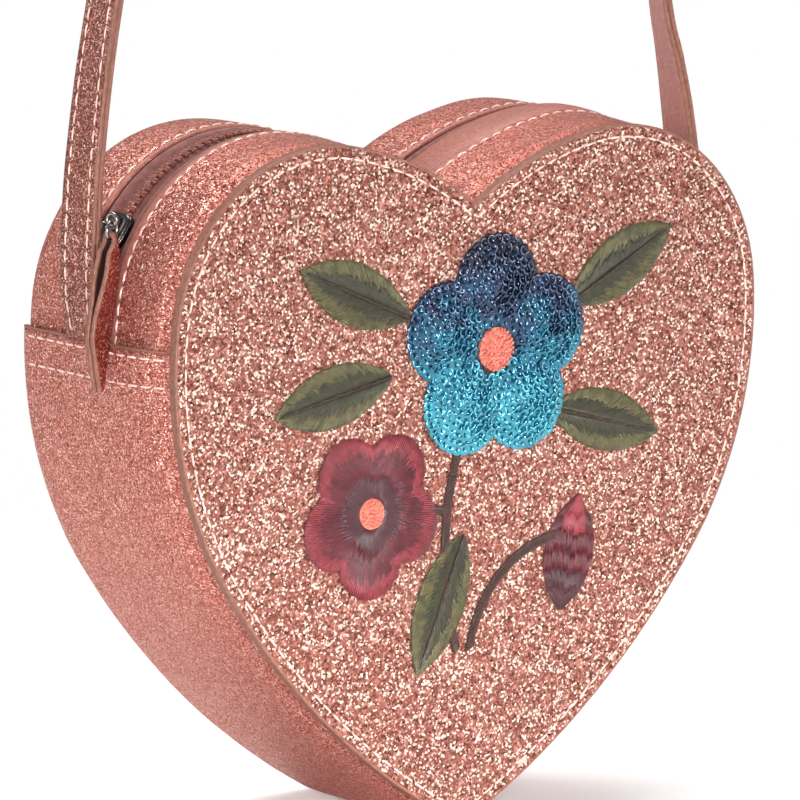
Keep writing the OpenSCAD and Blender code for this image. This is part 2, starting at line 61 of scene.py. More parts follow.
print("CAD nodes:", len(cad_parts))

# %% [markdown]
# The heart is a chain of tangent arcs, mirrored: crown, lobe, flank, side and tip. Moving a point outwards
# only adds to an arc's radius, so every seam and every row of stitches follows from the same five arcs.

# %% Outline arcs
def polar(centre, radius, angle):
    a = math.radians(angle)
    return np.array([centre[0] + radius * math.cos(a), centre[1] + radius * math.sin(a)])


LOBE_R, CROWN_R, FLANK_R, SIDE_R, TIP_R = 44.28, 93.4, 97.7, 196.6, 8.61
CROWN_A, FLANK_A, SIDE_A, SEAM_A = 100.75, 5.69, -34.96, 1.5
LOBE_C = np.array([45.15, 18.66])
CROWN_C = polar(LOBE_C, LOBE_R - CROWN_R, CROWN_A)
FLANK_C = polar(LOBE_C, LOBE_R - FLANK_R, FLANK_A)
SIDE_C = polar(FLANK_C, FLANK_R - SIDE_R, SIDE_A)
TIP_C = np.array([0.0, SIDE_C[1] - math.sqrt((SIDE_R - TIP_R) ** 2 - SIDE_C[0] ** 2)])
TIP_A = math.degrees(math.atan2(TIP_C[1] - SIDE_C[1], TIP_C[0] - SIDE_C[0]))
CROWN, LOBE, FLANK, SIDE, TIP = range(5)
ARCS = [
    (CROWN_C, CROWN_R, None, CROWN_A),
    (LOBE_C, LOBE_R, CROWN_A, FLANK_A),
    (FLANK_C, FLANK_R, FLANK_A, SIDE_A),
    (SIDE_C, SIDE_R, SIDE_A, TIP_A),
    (TIP_C, TIP_R, TIP_A, -90.0),
]
SEAM_F = (SEAM_A - FLANK_A) / (SIDE_A - FLANK_A)
FLANK_LENGTH = math.radians(FLANK_A - SIDE_A) * FLANK_R


def outline_angle(arc, f, w):
    centre, radius, start, end = ARCS[arc]
    if start is None:
        start = math.degrees(math.acos(-centre[0] / (radius + w)))
    return start + (end - start) * f


def outline_point(side, arc, f, w):
    """Point (x, z) at the share f of an arc, w outside the outline; side is -1 left or 1 right."""
    centre, radius = ARCS[arc][:2]
    x, z = polar(centre, radius + w, outline_angle(arc, f, w))
    middle = (arc == CROWN and f <= 0) or (arc == TIP and f >= 1)
    return np.array([0.0 if middle else side * x, z])


def direction(angle, side=1):
    return np.array([side * math.cos(angle), 0.0, math.sin(angle)])


def outward(side, arc, f):
    return direction(math.radians(outline_angle(arc, f, 0)), side)


def place(x, y, z):
    return np.array([x, y, z - STRAP_TOP]) * MM


def shell_point(station, y, w):
    x, z = outline_point(*station, w)
    return place(x, y, z)


print("lowest point of the heart in mm:", round(float(TIP_C[1] - TIP_R), 2))

# %% Stations along the outline
def half_run(first, last, step):
    """Stations (arc, share) about step millimetres apart, on the way from the cleft to the tip."""
    out = []
    for arc in range(first[0], last[0] + 1):
        f0 = first[1] if arc == first[0] else 0.0
        f1 = last[1] if arc == last[0] else 1.0
        a0, a1 = outline_angle(arc, f0, 0), outline_angle(arc, f1, 0)
        length = abs(math.radians(a1 - a0)) * ARCS[arc][1]
        count = max(2, int(round(length / step)))
        out += [(arc, f0 + (f1 - f0) * k / count) for k in range(count)]
    return out + [last]


half = half_run((CROWN, 0.0), (TIP, 1.0), 1.4)
whole = [(1, *s) for s in half] + [(-1, *s) for s in reversed(half[1:-1])]
half = half_run((CROWN, 0.0), (FLANK, SEAM_F * 1.6), 1.5)
strip_run = [(1, *s) for s in reversed(half)] + [(-1, *s) for s in half[1:]]
half = half_run((FLANK, SEAM_F), (TIP, 1.0), 1.6)
low_run = [(-1, *s) for s in half] + [(1, *s) for s in reversed(half[:-1])]
print("stations round the heart:", len(whole), "along the zip:", len(strip_run), "below it:", len(low_run))

# %% [markdown]
# Every mesh is a skin over rows of points, or a bundle of tubes (threads, stitches, wires). A thread is a
# real tube here, so that the needlework keeps its relief in the mesh itself.

# %% Mesh helpers
def grid_faces(rows, cols, close_rows=False, close_cols=False):
    out = []
    for i in range(rows if close_rows else rows - 1):
        for j in range(cols if close_cols else cols - 1):
            a, b = i * cols + j, i * cols + (j + 1) % cols
            c, d = ((i + 1) % rows) * cols + (j + 1) % cols, ((i + 1) % rows) * cols + j
            out.append((a, b, c, d))
    return out


def end_caps(rows, cols):
    """The two faces that close a grid whose columns run round a loop."""
    last = (rows - 1) * cols
    return [tuple(reversed(range(cols))), tuple(last + k for k in range(cols))]


def skin(rows, closed=False):
    """Vertices and faces over rows that each run round a loop; closed joins the last row to the first."""
    faces = grid_faces(len(rows), len(rows[0]), close_rows=closed, close_cols=True)
    if not closed:
        faces += end_caps(len(rows), len(rows[0]))
    return [p for row in rows for p in row], faces


def merge(parts):
    verts, faces = [], []
    for v, f in parts:
        faces += [tuple(i + len(verts) for i in face) for face in f]
        verts += list(v)
    return verts, faces


def face_out(verts, faces):
    """One closed part with its faces turned round if they look inwards."""
    p = [Vector(v) for v in verts]
    volume = sum(p[f[0]].dot(p[f[k]].cross(p[f[k + 1]])) for f in faces for k in range(1, len(f) - 1))
    return verts, faces if volume > 0 else [tuple(reversed(f)) for f in faces]


def signed_volume(mesh):
    """Volume inside a closed mesh in cubic metres; negative when its faces look inwards."""
    mesh.calc_loop_triangles()
    points = np.empty(3 * len(mesh.vertices))
    mesh.vertices.foreach_get("co", points)
    corners = np.empty(3 * len(mesh.loop_triangles), int)
    mesh.loop_triangles.foreach_get("vertices", corners)
    a, b, c = points.reshape(-1, 3)[corners].reshape(-1, 3, 3).transpose(1, 0, 2)
    return float((a * np.cross(b, c)).sum() / 6)


def make_object(name, part, materials, replaced=None, body="shell", picks=None):
    """One dressed piece that rides a body; picks gives the material's number for every face."""
    mesh = bpy.data.meshes.new(name)
    mesh.from_pydata([tuple(v) for v in part[0]], [], part[1])
    for material in materials:
        mesh.materials.append(material)
    if picks is not None:
        mesh.polygons.foreach_set("material_index", picks)
    mesh.polygons.foreach_set("use_smooth", [True] * len(mesh.polygons))
    mesh.validate()
    mesh.update()
    if signed_volume(mesh) < 0:
        mesh.flip_normals()
    obj = bpy.data.objects.new(name, mesh)
    bpy.context.scene.collection.objects.link(obj)
    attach(obj, body)
    if replaced:
        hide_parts(replaced)
    return obj


def tubes(paths, radius, up, sides=6, flat=1.0):
    """Closed tubes along paths (count, points, 3), with a radius per point; flat squashes them along up."""
    paths = np.asarray(paths, float)
    count, n = paths.shape[:2]
    along = np.gradient(paths, axis=1)
    along /= np.linalg.norm(along, axis=2, keepdims=True) + 1e-12
    up = np.broadcast_to(np.asarray(up, float).reshape(-1, 1, 3), paths.shape)
    across = np.cross(along, up)
    across /= np.linalg.norm(across, axis=2, keepdims=True) + 1e-12
    rise = np.cross(across, along)
    radius = np.broadcast_to(np.asarray(radius, float), (count, n))
    turn = np.linspace(0, 2 * math.pi, sides, endpoint=False)
    ring = (
        across[:, :, None] * np.cos(turn)[None, None, :, None]
        + rise[:, :, None] * np.sin(turn)[None, None, :, None] * flat
    )
    verts = (paths[:, :, None] + ring * radius[:, :, None, None]).reshape(-1, 3)
    one = grid_faces(n, sides, close_cols=True) + end_caps(n, sides)
    faces = [tuple(v + k * n * sides for v in f) for k in range(count) for f in one]
    return verts, faces


def run_length(points):
    return np.concatenate([[0], np.cumsum(np.linalg.norm(np.diff(points, axis=0), axis=1))])


def spline(a, b, c, d, f):
    """Point of a smooth curve at the share f from b to c, with the neighbours a and d."""
    return 0.5 * (2 * b + (c - a) * f + (2 * a - 5 * b + 4 * c - d) * f**2 + (3 * b - a - 3 * c + d) * f**3)


def smooth_curve(points, n):
    """n points along a smooth curve through the given points, evenly spaced."""
    p = np.asarray(points, float)
    ext = np.vstack([2 * p[0] - p[1], p, 2 * p[-1] - p[-2]])
    shares = np.linspace(0, 1, 16, endpoint=False)
    dense = [spline(*ext[i - 1 : i + 3], f) for i in range(1, len(ext) - 2) for f in shares]
    dense = np.vstack([dense, p[-1]])
    run = run_length(dense)
    s = np.linspace(0, run[-1], n)
    return np.stack([np.interp(s, run, dense[:, k]) for k in range(p.shape[1])], axis=1)


def slopes(path):
    """Unit directions along a path."""
    way = np.gradient(path, axis=0)
    return way / np.linalg.norm(way, axis=1, keepdims=True)


def ripple(x, y, z, size, seed=0.0):
    """Smooth noise from -1 to 1; size is the wave's length in millimetres."""
    return noise.noise(Vector((x / size + seed, y / size, z / size)))


print("a tube's faces:", len(tubes([[(0, 0, 0), (1, 0, 0)]], 1.0, (0, 0, 1.0))[1]))

# %% [markdown]
# Every colour is written as its sRGB hex value and turned to the linear values that the shader takes. The
# patterns of a finish lie in the piece's own coordinates, so they move with it.

# %% Material helpers
def hex_colour(text):
    out = []
    for k in (0, 2, 4):
        v = int(text[k : k + 2], 16) / 255
        out.append(v / 12.92 if v <= 0.04045 else ((v + 0.055) / 1.055) ** 2.4)
    return (*out, 1.0)


def set_input(node, key, value):
    name = key.replace("_", " ").lower()
    [s for s in node.inputs if s.name.lower() == name][0].default_value = value


def add_node(tree, kind, links=None, **settings):
    """A node with its settings; links maps an input's name or index to a value or another node's output."""
    node = tree.nodes.new(kind)
    for key, value in settings.items():
        if hasattr(node, key):
            setattr(node, key, value)
        else:
            set_input(node, key, value)
    for key, value in (links or {}).items():
        if isinstance(value, bpy.types.NodeSocket):
            tree.links.new(value, node.inputs[key])
        else:
            node.inputs[key].default_value = value
    return node


def maths(tree, operation, *values, kind="ShaderNodeVectorMath"):
    return add_node(tree, kind, dict(enumerate(values)), operation=operation).outputs[0]


def new_finish(name, **values):
    mat = bpy.data.materials.new(name)
    mat.use_nodes = True
    shader = mat.node_tree.nodes["Principled BSDF"]
    for key, value in values.items():
        set_input(shader, key, value)
    return mat, mat.node_tree, shader


def own_position(tree):
    return add_node(tree, "ShaderNodeTexCoord").outputs["Object"]


def soft_noise(tree, size_mm, detail):
    where, scale = own_position(tree), 1 / (size_mm * MM)
    return add_node(tree, "ShaderNodeTexNoise", {"Vector": where}, scale=scale, detail=detail).outputs[0]


def tint(tree, shader, value, stops):
    """Sets the base colour by a ramp of (value, hex colour) stops."""
    node = add_node(tree, "ShaderNodeValToRGB", {"Fac": value})
    while len(node.color_ramp.elements) < len(stops):
        node.color_ramp.elements.new(0.5)
    for element, (where, colour) in zip(node.color_ramp.elements, stops):
        element.position = where
        element.color = hex_colour(colour)
    tree.links.new(node.outputs["Color"], shader.inputs["Base Color"])


def bump(tree, shader, height, strength, distance_mm):
    node = add_node(tree, "ShaderNodeBump", {"Height": height}, strength=strength, distance=distance_mm * MM)
    tree.links.new(node.outputs["Normal"], shader.inputs["Normal"])


print("the edge paint's linear colour:", [round(v, 3) for v in hex_colour("926151")])

# %% [markdown]
# Glitter leather is a cloth backed sheet with metallised film flakes glued on. Each flake is a flat mirror at
# its own small tilt, so one shows white and its neighbour dark. A cell pattern gives every flake one random
# value, which tilts the normal and picks the tint. The tints vary at random as the flakes' colours do, and
# the palest of them are painted glints. Flakes are 0.52 mm on the front, 0.3 mm on the gusset.

# %% Glitter leather
def glitter_leather(name, flake_mm, tilt, tints_with_painted_glints, roughness, metallic):
    mat, tree, shader = new_finish(name, roughness=roughness, metallic=metallic, specular_ior_level=0.3,
                                   specular_tint=hex_colour("F2DCD5"))
    where, scale = own_position(tree), 1 / (flake_mm * MM)
    cells = add_node(tree, "ShaderNodeTexVoronoi", {"Vector": where}, scale=scale).outputs["Color"]
    centred = maths(tree, "SUBTRACT", cells, (0.5, 0.5, 0.5))
    tilted = add_node(tree, "ShaderNodeVectorMath", {0: centred, "Scale": tilt}, operation="SCALE").outputs[0]
    normal = add_node(tree, "ShaderNodeNewGeometry").outputs["Normal"]
    tree.links.new(maths(tree, "NORMALIZE", maths(tree, "ADD", normal, tilted)), shader.inputs["Normal"])
    tint(tree, shader, add_node(tree, "ShaderNodeSeparateColor", {0: cells}).outputs[0], tints_with_painted_glints)
    return mat


# The last stop of each ramp is near white: painted glints on the palest flakes.
coarse_glitter = glitter_leather(
    "coarse_glitter_leather", 0.52, 1.0,
    [(0.0, "421E17"), (0.25, "784439"), (0.6, "985F52"), (0.79, "B57E70"), (0.88, "FCE8D9")], 0.3, 0.4)
fine_glitter = glitter_leather(
    "fine_glitter_leather", 0.3, 0.85,
    [(0.0, "70332A"), (0.35, "AC5E52"), (0.7, "C67A6B"), (0.92, "EBB2A3"), (1.0, "FFE6DA")], 0.34, 0.55)
strap_glitter = glitter_leather(
    "strap_glitter_leather", 0.34, 0.75,
    [(0.0, "582C27"), (0.4, "7F4A3E"), (0.75, "A36559"), (0.93, "D9A396"), (1.0, "FBE2D8")], 0.38, 0.5)
# The pull tab's leather is the bag's pink glitter leather, darkened to wine red here as painted shade.
pull_glitter_painted_shade = glitter_leather(
    "painted_shade_glitter_leather", 0.34, 0.7,
    [(0.0, "4A1B15"), (0.45, "7C3128"), (0.8, "9C4438"), (0.92, "CE8A7C"), (1.0, "F6D2C6")], 0.36, 0.5)
print("glitter leathers made")

# %% [markdown]
# The cut edges are sealed with tan edge paint, and the strap's inner face is smooth split leather. Both are
# matt coated surfaces, so only a fine grain breaks their gloss.

# %% Plain leathers
def mottled(name, low, high, size_mm, detail, **values):
    """A finish between two close colours; also gives its noise for a bump."""
    mat, tree, shader = new_finish(name, **values)
    tone = soft_noise(tree, size_mm, detail)
    tint(tree, shader, tone, [(0.3, low), (0.7, high)])
    return mat, tree, shader, tone


def grained_leather(name, low, high, grain_mm, relief_mm, roughness):
    mat, tree, shader, grain = mottled(name, low, high, grain_mm, 4.0, roughness=roughness, ior=1.45)
    bump(tree, shader, grain, 0.6, relief_mm)
    return mat


edge_paint = grained_leather("tan_edge_paint", "76493A", "926151", 1.2, 0.08, 0.5)
strap_split = grained_leather("rose_split_leather", "A66E65", "BC857B", 0.9, 0.05, 0.55)
turned_edge = grained_leather("turned_leather_edge", "95574A", "B27265", 1.0, 0.06, 0.5)
# The tab's inner faces are near-black brown: painted shade in the gap between its leaves, not the leather's
# colour.
tab_inside_painted_shade = grained_leather("painted_shade_tab_inside", "2F1814", "47261F", 1.0, 0.05, 0.8)
lining_cloth = grained_leather("lining_cloth", "B48F87", "C09B92", 0.3, 0.05, 0.9)
board = grained_leather("fibre_board", "857D70", "958C7E", 0.4, 0.05, 0.9)
print("plain leathers made")

# %% [markdown]
# Nylon: the zip's tape is tightly woven and dull, the coil and the sewing thread are satin filament. The
# embroidery threads are darker and have little sheen, and the padding under the sequins is felt.

# %% Textiles
def thread_finish(name, low, high, roughness=0.45, sheen=0.3):
    return mottled(name, low, high, 1.6, 2.0, roughness=roughness, sheen_weight=sheen, sheen_roughness=0.4)[0]


zip_tape = thread_finish("woven_nylon_tape", "6E3D38", "8C564E", 0.75, 0.2)
zip_coil = thread_finish("nylon_coil", "74392F", "A1604F", 0.34, 0.1)
sewing_thread = thread_finish("pale_sewing_thread", "E0B5AA", "F4D6CC", 0.5)
seam_thread = thread_finish("rose_sewing_thread", "A66C61", "C48E83", 0.5)
leaf_thread = thread_finish("olive_embroidery_thread", "37341A", "5E5834", 0.45, 0.08)
leaf_dark = thread_finish("dark_olive_thread", "1F1D0C", "36331B", 0.45, 0.08)
stem_thread = thread_finish("brown_embroidery_thread", "28140D", "43251A", 0.45, 0.08)
petal_thread = thread_finish("burgundy_embroidery_thread", "3C0B14", "5E1521", 0.45, 0.08)
petal_light = thread_finish("rose_embroidery_thread", "6A1C27", "8E323A", 0.45, 0.08)
petal_dark = thread_finish("dark_burgundy_thread", "2C0A12", "481420", 0.42)
knot_thread = thread_finish("coral_embroidery_thread", "C05B4A", "E27D67", 0.5)
sequin_felt = thread_finish("navy_padding_felt", "0E1626", "18243A", 0.8)
print("textiles made")

# %% [markdown]
# The slider is die-cast and nickel plated: a metal mirror with slight polishing marks. Its plates take a
# much darker grey than the wire, as painted shade under the tab and strap. Sequins are vacuum-plated film
# discs; the tint runs from navy at the top of the blossom to turquoise.

# %% Metal and sequins
def plated_metal(name, colour, roughness):
    mat, tree, shader = new_finish(name, base_color=hex_colour(colour), metallic=1.0, roughness=roughness)
    bump(tree, shader, soft_noise(tree, 0.7, 3.0), 0.25, 0.03)
    return mat


def sequin_film(navy_z, turquoise_z):
    mat, tree, shader = new_finish("plated_film_sequins", metallic=0.75, roughness=0.2, coat_weight=0.7,
                                   coat_roughness=0.1)
    height = add_node(tree, "ShaderNodeSeparateXYZ", {0: own_position(tree)}).outputs["Z"]
    limits = {1: (navy_z - STRAP_TOP) * MM, 2: (turquoise_z - STRAP_TOP) * MM, 3: 0.0, 4: 1.0}
    share = add_node(tree, "ShaderNodeMapRange", {0: height, **limits}).outputs[0]
    shift = maths(tree, "MULTIPLY_ADD", soft_noise(tree, 5, 1.0), 0.7, -0.35, kind="ShaderNodeMath")
    total = maths(tree, "ADD", share, shift, kind="ShaderNodeMath")
    tint(tree, shader, total, [(0.0, "0F1830"), (0.3, "163253"), (0.6, "1B6C86"), (1.0, "3F9DB3")])
    return mat


bright_metal = plated_metal("nickel_plated_wire", "A5A29E", 0.14)
# The slider's nickel is much darker than the wire's: painted shade, as the slider sits under the tab and
# strap.
slider_metal_painted_shade = plated_metal("shaded_nickel_plated_zinc", "63605E", 0.2)
sequins = sequin_film(36, -10)
print("finishes:", len(bpy.data.materials))

# %% [markdown]
# The front is a stiffened panel sewn flat against the gusset's flange, so its edge stands proud as a thin
# painted ridge. The face is drawn as rings that run in from the outline, with a shallow groove pressed in by
# the row of stitches three millimetres from the edge.

# %% Front panel and its painted ridge
HALF = 30.5
STITCH_IN = 3.0
CENTRE = np.array([0.0, -4.0])


def face_plate(name, path, rings, material, replaced, swell):
    """A closed plate: path of (y, w) from its hidden edge to the face, then rings to the centre and back."""
    back, front = path[0][0], path[-1][0]
    rows = []
    for station in whole:
        row = [shell_point(station, y, w) for y, w in path]
        x, z = outline_point(*station, path[-1][1])
        for k in range(1, rings + 1):
            f = k / (rings + 1)
            px, pz = x + (CENTRE[0] - x) * f, z + (CENTRE[1] - z) * f
            row.append(place(px, front + swell(px, pz, f), pz))
        rows.append(row)
    n, cols = len(rows), len(rows[0])
    verts = [p for row in rows for p in row]
    verts += [place(CENTRE[0], y, CENTRE[1]) for y in (front + swell(*CENTRE, 1.0), back)]
    faces = grid_faces(n, cols, close_rows=True)
    for i in range(n):
        j = (i + 1) % n
        faces.append((j * cols + cols - 1, i * cols + cols - 1, n * cols))
        faces.append((i * cols, j * cols, n * cols + 1))
    make_object(name, (verts, faces), [material], replaced)


def front_swell(x, z, f):
    return 0.25 * ripple(x, 0, z, 38, 3.0) * min(1, 4 * f) - 0.35 * math.sin(math.pi * min(f, 0.5))


def back_swell(x, z, f):
    return 0.25 * ripple(x, 5, z, 34, 7.0) * min(1, 4 * f)


FRONT_EDGE = [(-29.3, -0.45), (-30.2, -0.45), (-30.42, -0.6), (-HALF, -0.9), (-HALF, -2.3), (-30.42, -2.7),
              (-30.34, -STITCH_IN), (-30.42, -3.3), (-HALF, -3.8), (-HALF, -5.5)]
face_plate("front_panel_face", FRONT_EDGE, 26, coarse_glitter, "front_panel", front_swell)


def sweep(name, run, loop, material, replaced=None, wave=None, closed=False):
    """Sweeps a closed loop of (y, w) along the outline; wave(side, arc, f, y, w) adds to w."""
    rows = []
    for station in run:
        rows.append([shell_point(station, y, w + (wave(*station, y, w) if wave else 0)) for y, w in loop])
    return make_object(name, skin(rows, closed), [material], replaced)


def ridge_wave(side, arc, f, y, w):
    x, z = outline_point(side, arc, f, 0)
    return 0.05 * ripple(x, y * 2, z, 2.2, 9.0) - (0.12 if -29.4 < y < -29.0 else 0)


RIDGE = [(-27.95, -0.8), (-27.8, -0.5), (-27.85, -0.15), (-28.1, 0.0), (-28.7, 0.02), (-29.2, 0.0),
         (-29.7, 0.02), (-30.2, 0.0), (-30.42, -0.15), (-30.48, -0.5), (-30.4, -0.8)]
sweep("front_ridge_paint", whole, RIDGE, edge_paint, "front_edge_paint", ridge_wave,
      closed=True)
print("front panel and ridge made")

# %% [markdown]
# The gusset leaves the ridge at a narrow gutter, swells out over its belly and turns in at the back, where
# the seam is sewn inside out. A smooth curve through twenty points gives its section. The leather waves a
# little where the seam pulls it, which a soft noise adds along the run.

# %% Gusset sections
LEATHER = 1.15
FRONT_SEAM_Y, BACK_SEAM_Y = -27.4, 29
LOW_PATH = [(-27.8, -0.6), (-27.72, -2.4), (-27.4, -2.7), (-26.6, -2.15), (-25.5, -1.2), (-23.5, -0.25),
            (-21, 0.6), (-17, 1.35), (-12, 1.85), (-6, 2.12), (0, 2.25), (8, 2.3), (16, 2.28), (22, 2.15),
            (25.5, 1.85), (27.6, 1.1), (28.9, -0.1), (29.55, -1.5), (29.6, -2.6), (29.2, -4.5)]


def share_of(value, length):
    """value / length, held between 0 and 1."""
    return min(1.0, max(0.0, value / length))


def shell_loop(path, count, leather=LEATHER, lift=0.0):
    """Outer points along the section, then the inner side of the leather back to the start."""
    outer = smooth_curve(path, count)
    outer[:, 1] += lift
    slope = slopes(outer)
    inner = outer + leather * np.stack([slope[:, 1], -slope[:, 0]], axis=1)
    return [tuple(p) for p in outer] + [tuple(p) for p in inner[::-1]]


def leather_wave(side, arc, f, y, w):
    x, z = outline_point(side, arc, f, 0)
    edge = max(0.0, 1 - (y + 27.5) / 12) if y < 0 else 0.35
    soft = 0.28 * ripple(x + side * 20, y * 0.7, z, 17, 2.0) + 0.16 * edge * ripple(x, y, z, 7, 5.0)
    return soft * (share_of(y - FRONT_SEAM_Y, 3) * share_of(BACK_SEAM_Y - y, 3))


def low_wave(side, arc, f, y, w):
    """The leather stands off the strap's ends and the strips where it laps over them at the side seams."""
    fall = (f - SEAM_F) * FLANK_LENGTH if arc == FLANK else 99
    spread = 0.9 * math.exp(-((fall / 11) ** 2)) * share_of(y + 27, 8) * share_of(BACK_SEAM_Y - y, 6)
    return leather_wave(side, arc, f, y, w) + spread


sweep("lower_gusset_leather", low_run, shell_loop(LOW_PATH, 46), fine_glitter,
      "lower_gusset", low_wave)
print("lower gusset made")

# %% [markdown]
# The back panel is sewn in inside out: its edge rolls into the seam, with no ridge and no visible stitches.

# %% Back panel
BACK_EDGE = [(28.7, -3.2), (29.5, -2.75), (30.0, -2.85), (30.35, -3.4), (HALF, -4.4), (HALF, -6.0)]
face_plate("back_panel_face", BACK_EDGE, 20, fine_glitter, "back_panel", back_swell)
print("back panel made")

# %% [markdown]
# Two strips of the same leather carry the zip over both lobes. Beside the slot their edges are turned under,
# where the leather shows without its glitter. Their lower ends lie under the lower gusset's painted top edge.

# %% Zip strips
ZIP_Y = 1.75
SLOT = 7.25
FRONT_TURN, REAR_TURN = 2.6, 0.9
FRONT_STRIP = [(-27.8, -0.6), (-27.72, -3.2), (-27.3, -3.55), (-26.3, -2.95), (-24.9, -1.8), (-23.5, -0.75),
               (-22.2, -0.15), (-20, 0.05), (-16, 0.35), (-12, 0.6), (-9, 0.74), (-8.1, 0.72), (-7.2, 0.95),
               (-6.2, 0.98), (ZIP_Y - SLOT + 0.1, 0.6)]
REAR_STRIP = [(ZIP_Y + SLOT - 0.1, 0.72), (10, 0.85), (14, 1.0), (19, 1.05), (24, 0.85), (26.6, 0.2),
              (28.2, -1.1), (29.2, -2.3), (29.5, -3.2), (29.1, -4.6)]


def zip_strip(name, path, points, low, high, replaced):
    """One strip; its section between the depths low and high is the turned edge beside the zip."""
    loop = shell_loop(path, points)
    strip = sweep(name, strip_run, loop, fine_glitter, replaced, leather_wave)
    strip.data.materials.append(turned_edge)
    for face in strip.data.polygons:
        j = face.index % len(loop)
        if low < (loop[j][0] + loop[(j + 1) % len(loop)][0]) / 2 < high:
            face.material_index = 1


zip_strip("zip_strip_front", FRONT_STRIP, 48, ZIP_Y - SLOT - FRONT_TURN, ZIP_Y, "zip_gusset_front")
zip_strip("zip_strip_rear", REAR_STRIP, 40, ZIP_Y, ZIP_Y + SLOT + REAR_TURN, "zip_gusset_rear")
print("zip strips made")

# %% [markdown]
# On the right lobe the front strip's slack leather lies in a fold over the closed zip. The painted top edge
# of the lower gusset closes its cut end at each side seam.

# %% Slack fold and painted seam edges
FOLD_FROM, FOLD_TO = (CROWN, 0.03), (LOBE, 0.5)
FOLD_DROP = 2.6
FOLD = [(-8.0, 0.75), (-7.2, 1.3), (-5.4, 1.75), (-3.0, 1.95), (-0.4, 1.9), (2.2, 1.65), (4.6, 1.25),
        (6.6, 0.7), (7.6, 0.0), (7.0, -0.5), (2.0, -0.1), (-3.0, 0.0), (-7.0, 0.2)]


def fold_wave(side, arc, f, y, w):
    """Soft unevenness, and the fold's ends sinking away into the slot."""
    first, last = outline_angle(*FOLD_FROM, 0), outline_angle(*FOLD_TO, 0)
    x, z = outline_point(side, arc, f, 0)
    end = math.sin(math.pi * share_of(outline_angle(arc, f, 0) - first, last - first)) ** 0.35
    return 0.2 * ripple(x, y, z, 9, 4.0) - FOLD_DROP * (1 - end)


fold_run = [(1, *s) for s in half_run(FOLD_FROM, FOLD_TO, 1.2)]
sweep("zip_strip_fold", fold_run, FOLD, turned_edge, wave=fold_wave)

PAINT_SHARE, PAINT_ROUND = 0.0085, 0.12


def seam_edge(side):
    """Rows of points over one painted edge, eased inwards at its two rims."""
    loop = shell_loop([p for p in LOW_PATH if -26.9 < p[0] < 28], 40, 1.25, lift=0.06)
    rows = []
    for k, station in enumerate([(side, FLANK, SEAM_F - PAINT_SHARE * k / 3) for k in range(4)][::-side]):
        ease = PAINT_ROUND if k in (0, 3) else 0.0
        row = []
        for j, (y, w) in enumerate(loop):
            inset = -ease if j < len(loop) // 2 else ease * 0.3
            row.append(shell_point(station, y, w + inset + low_wave(*station, y, w)))
        rows.append(row)
    return rows


seam_paint = merge([skin(seam_edge(side)) for side in (-1, 1)])
make_object("side_seam_paint", seam_paint, [edge_paint], "side_seam_edges")
print("fold stations:", len(fold_run))

# %% [markdown]
# Stitches are separate short tubes, about 3.2 mm long with gaps of 0.8 mm. Each bows out of the leather in
# its middle and dives into it at both ends.

# %% Rows of stitches
STITCH_GAP = 0.8


def stitch_bundle(name, rows, radius_mm, material, rise=0.22):
    """One bowed tube per stitch; each row holds the stitches' starts, ends and outward directions."""
    starts, ends, ups = (np.vstack(v) for v in zip(*rows))
    share = np.linspace(0, 1, 6)
    bow = rise * MM * np.sin(math.pi * share) - 0.12 * MM
    paths = starts[:, None] * (1 - share)[None, :, None] + ends[:, None] * share[None, :, None]
    paths = paths + ups[:, None] * bow[None, :, None]
    radius = radius_mm * MM * np.array([0.55, 0.95, 1.0, 1.0, 0.95, 0.55])
    make_object(name, tubes(paths, radius[None], ups, flat=0.8), [material])


def stitch_row(points, normals, pitch, gap=STITCH_GAP):
    """Stitches pitch apart along a line of points, each with the normal of the point next to its middle."""
    p = np.asarray(points, float)
    run = run_length(p)
    starts = np.arange(int(run[-1] / (pitch * MM))) * pitch * MM + gap * MM / 2
    first, last = (np.stack([np.interp(s, run, p[:, k]) for k in range(3)], axis=1)
                   for s in (starts, starts + (pitch - gap) * MM))
    near = [int(np.argmin(((p - m) ** 2).sum(1))) for m in (first + last) / 2]
    return first, last, np.asarray(normals, float)[near]


def path_level(path, y):
    p = smooth_curve(path, 200)
    return float(np.interp(y, p[:, 0], p[:, 1]))


def strip_row(path, y):
    """Stitches along a zip strip at the depth y."""
    w = path_level(path, y)
    points = [shell_point(s, y, w + leather_wave(*s, y, w)) for s in strip_run]
    return stitch_row(points, [outward(*s) for s in strip_run], 3.9)


def seam_row(side, drop):
    """Stitches across the lower gusset, drop below its top edge."""
    station = (side, FLANK, SEAM_F + drop / FLANK_LENGTH)
    ys = np.linspace(-25.5, 27, 80)
    points = [shell_point(station, y, path_level(LOW_PATH, y) + low_wave(*station, y, 0)) for y in ys]
    return stitch_row(points, [outward(*station)] * len(points), 3.9)


front_line = [shell_point(s, -30.36, -STITCH_IN) for s in whole + whole[:1]]
front_rows = [stitch_row(front_line, [(0, -1, 0)] * len(front_line), 4.05, 0.75)]
strip_rows = [strip_row(FRONT_STRIP, ZIP_Y - SLOT - 2.6), strip_row(REAR_STRIP, ZIP_Y + SLOT + 1.7)]
seam_rows = [seam_row(side, drop) for side in (-1, 1) for drop in (1.5, 8.1)]
stitch_bundle("front_stitches", front_rows, 0.27, sewing_thread)
stitch_bundle("zip_strip_stitches", strip_rows, 0.29, sewing_thread, rise=0.34)
stitch_bundle("side_seam_stitches", seam_rows, 0.27, sewing_thread, rise=0.3)
print("stitches on the shell:", sum(len(row[0]) for row in front_rows + strip_rows + seam_rows))

# %% [markdown]
# The zip: two woven tapes, and a nylon coil whose turns show as rounded loops that mesh over the zip line.
# Each loop is one bent filament: out along the tape, round the head between two loops of the other row.

# %% Tapes and coil
TAPE_W = -0.6
TAPE_OVERLAP, TAPE_SPLIT = 1.6, 0.35
PITCH = 2.2
TEETH_A, TEETH_W, TEETH_SPARE = 25.0, TAPE_W + 0.65, 1.2


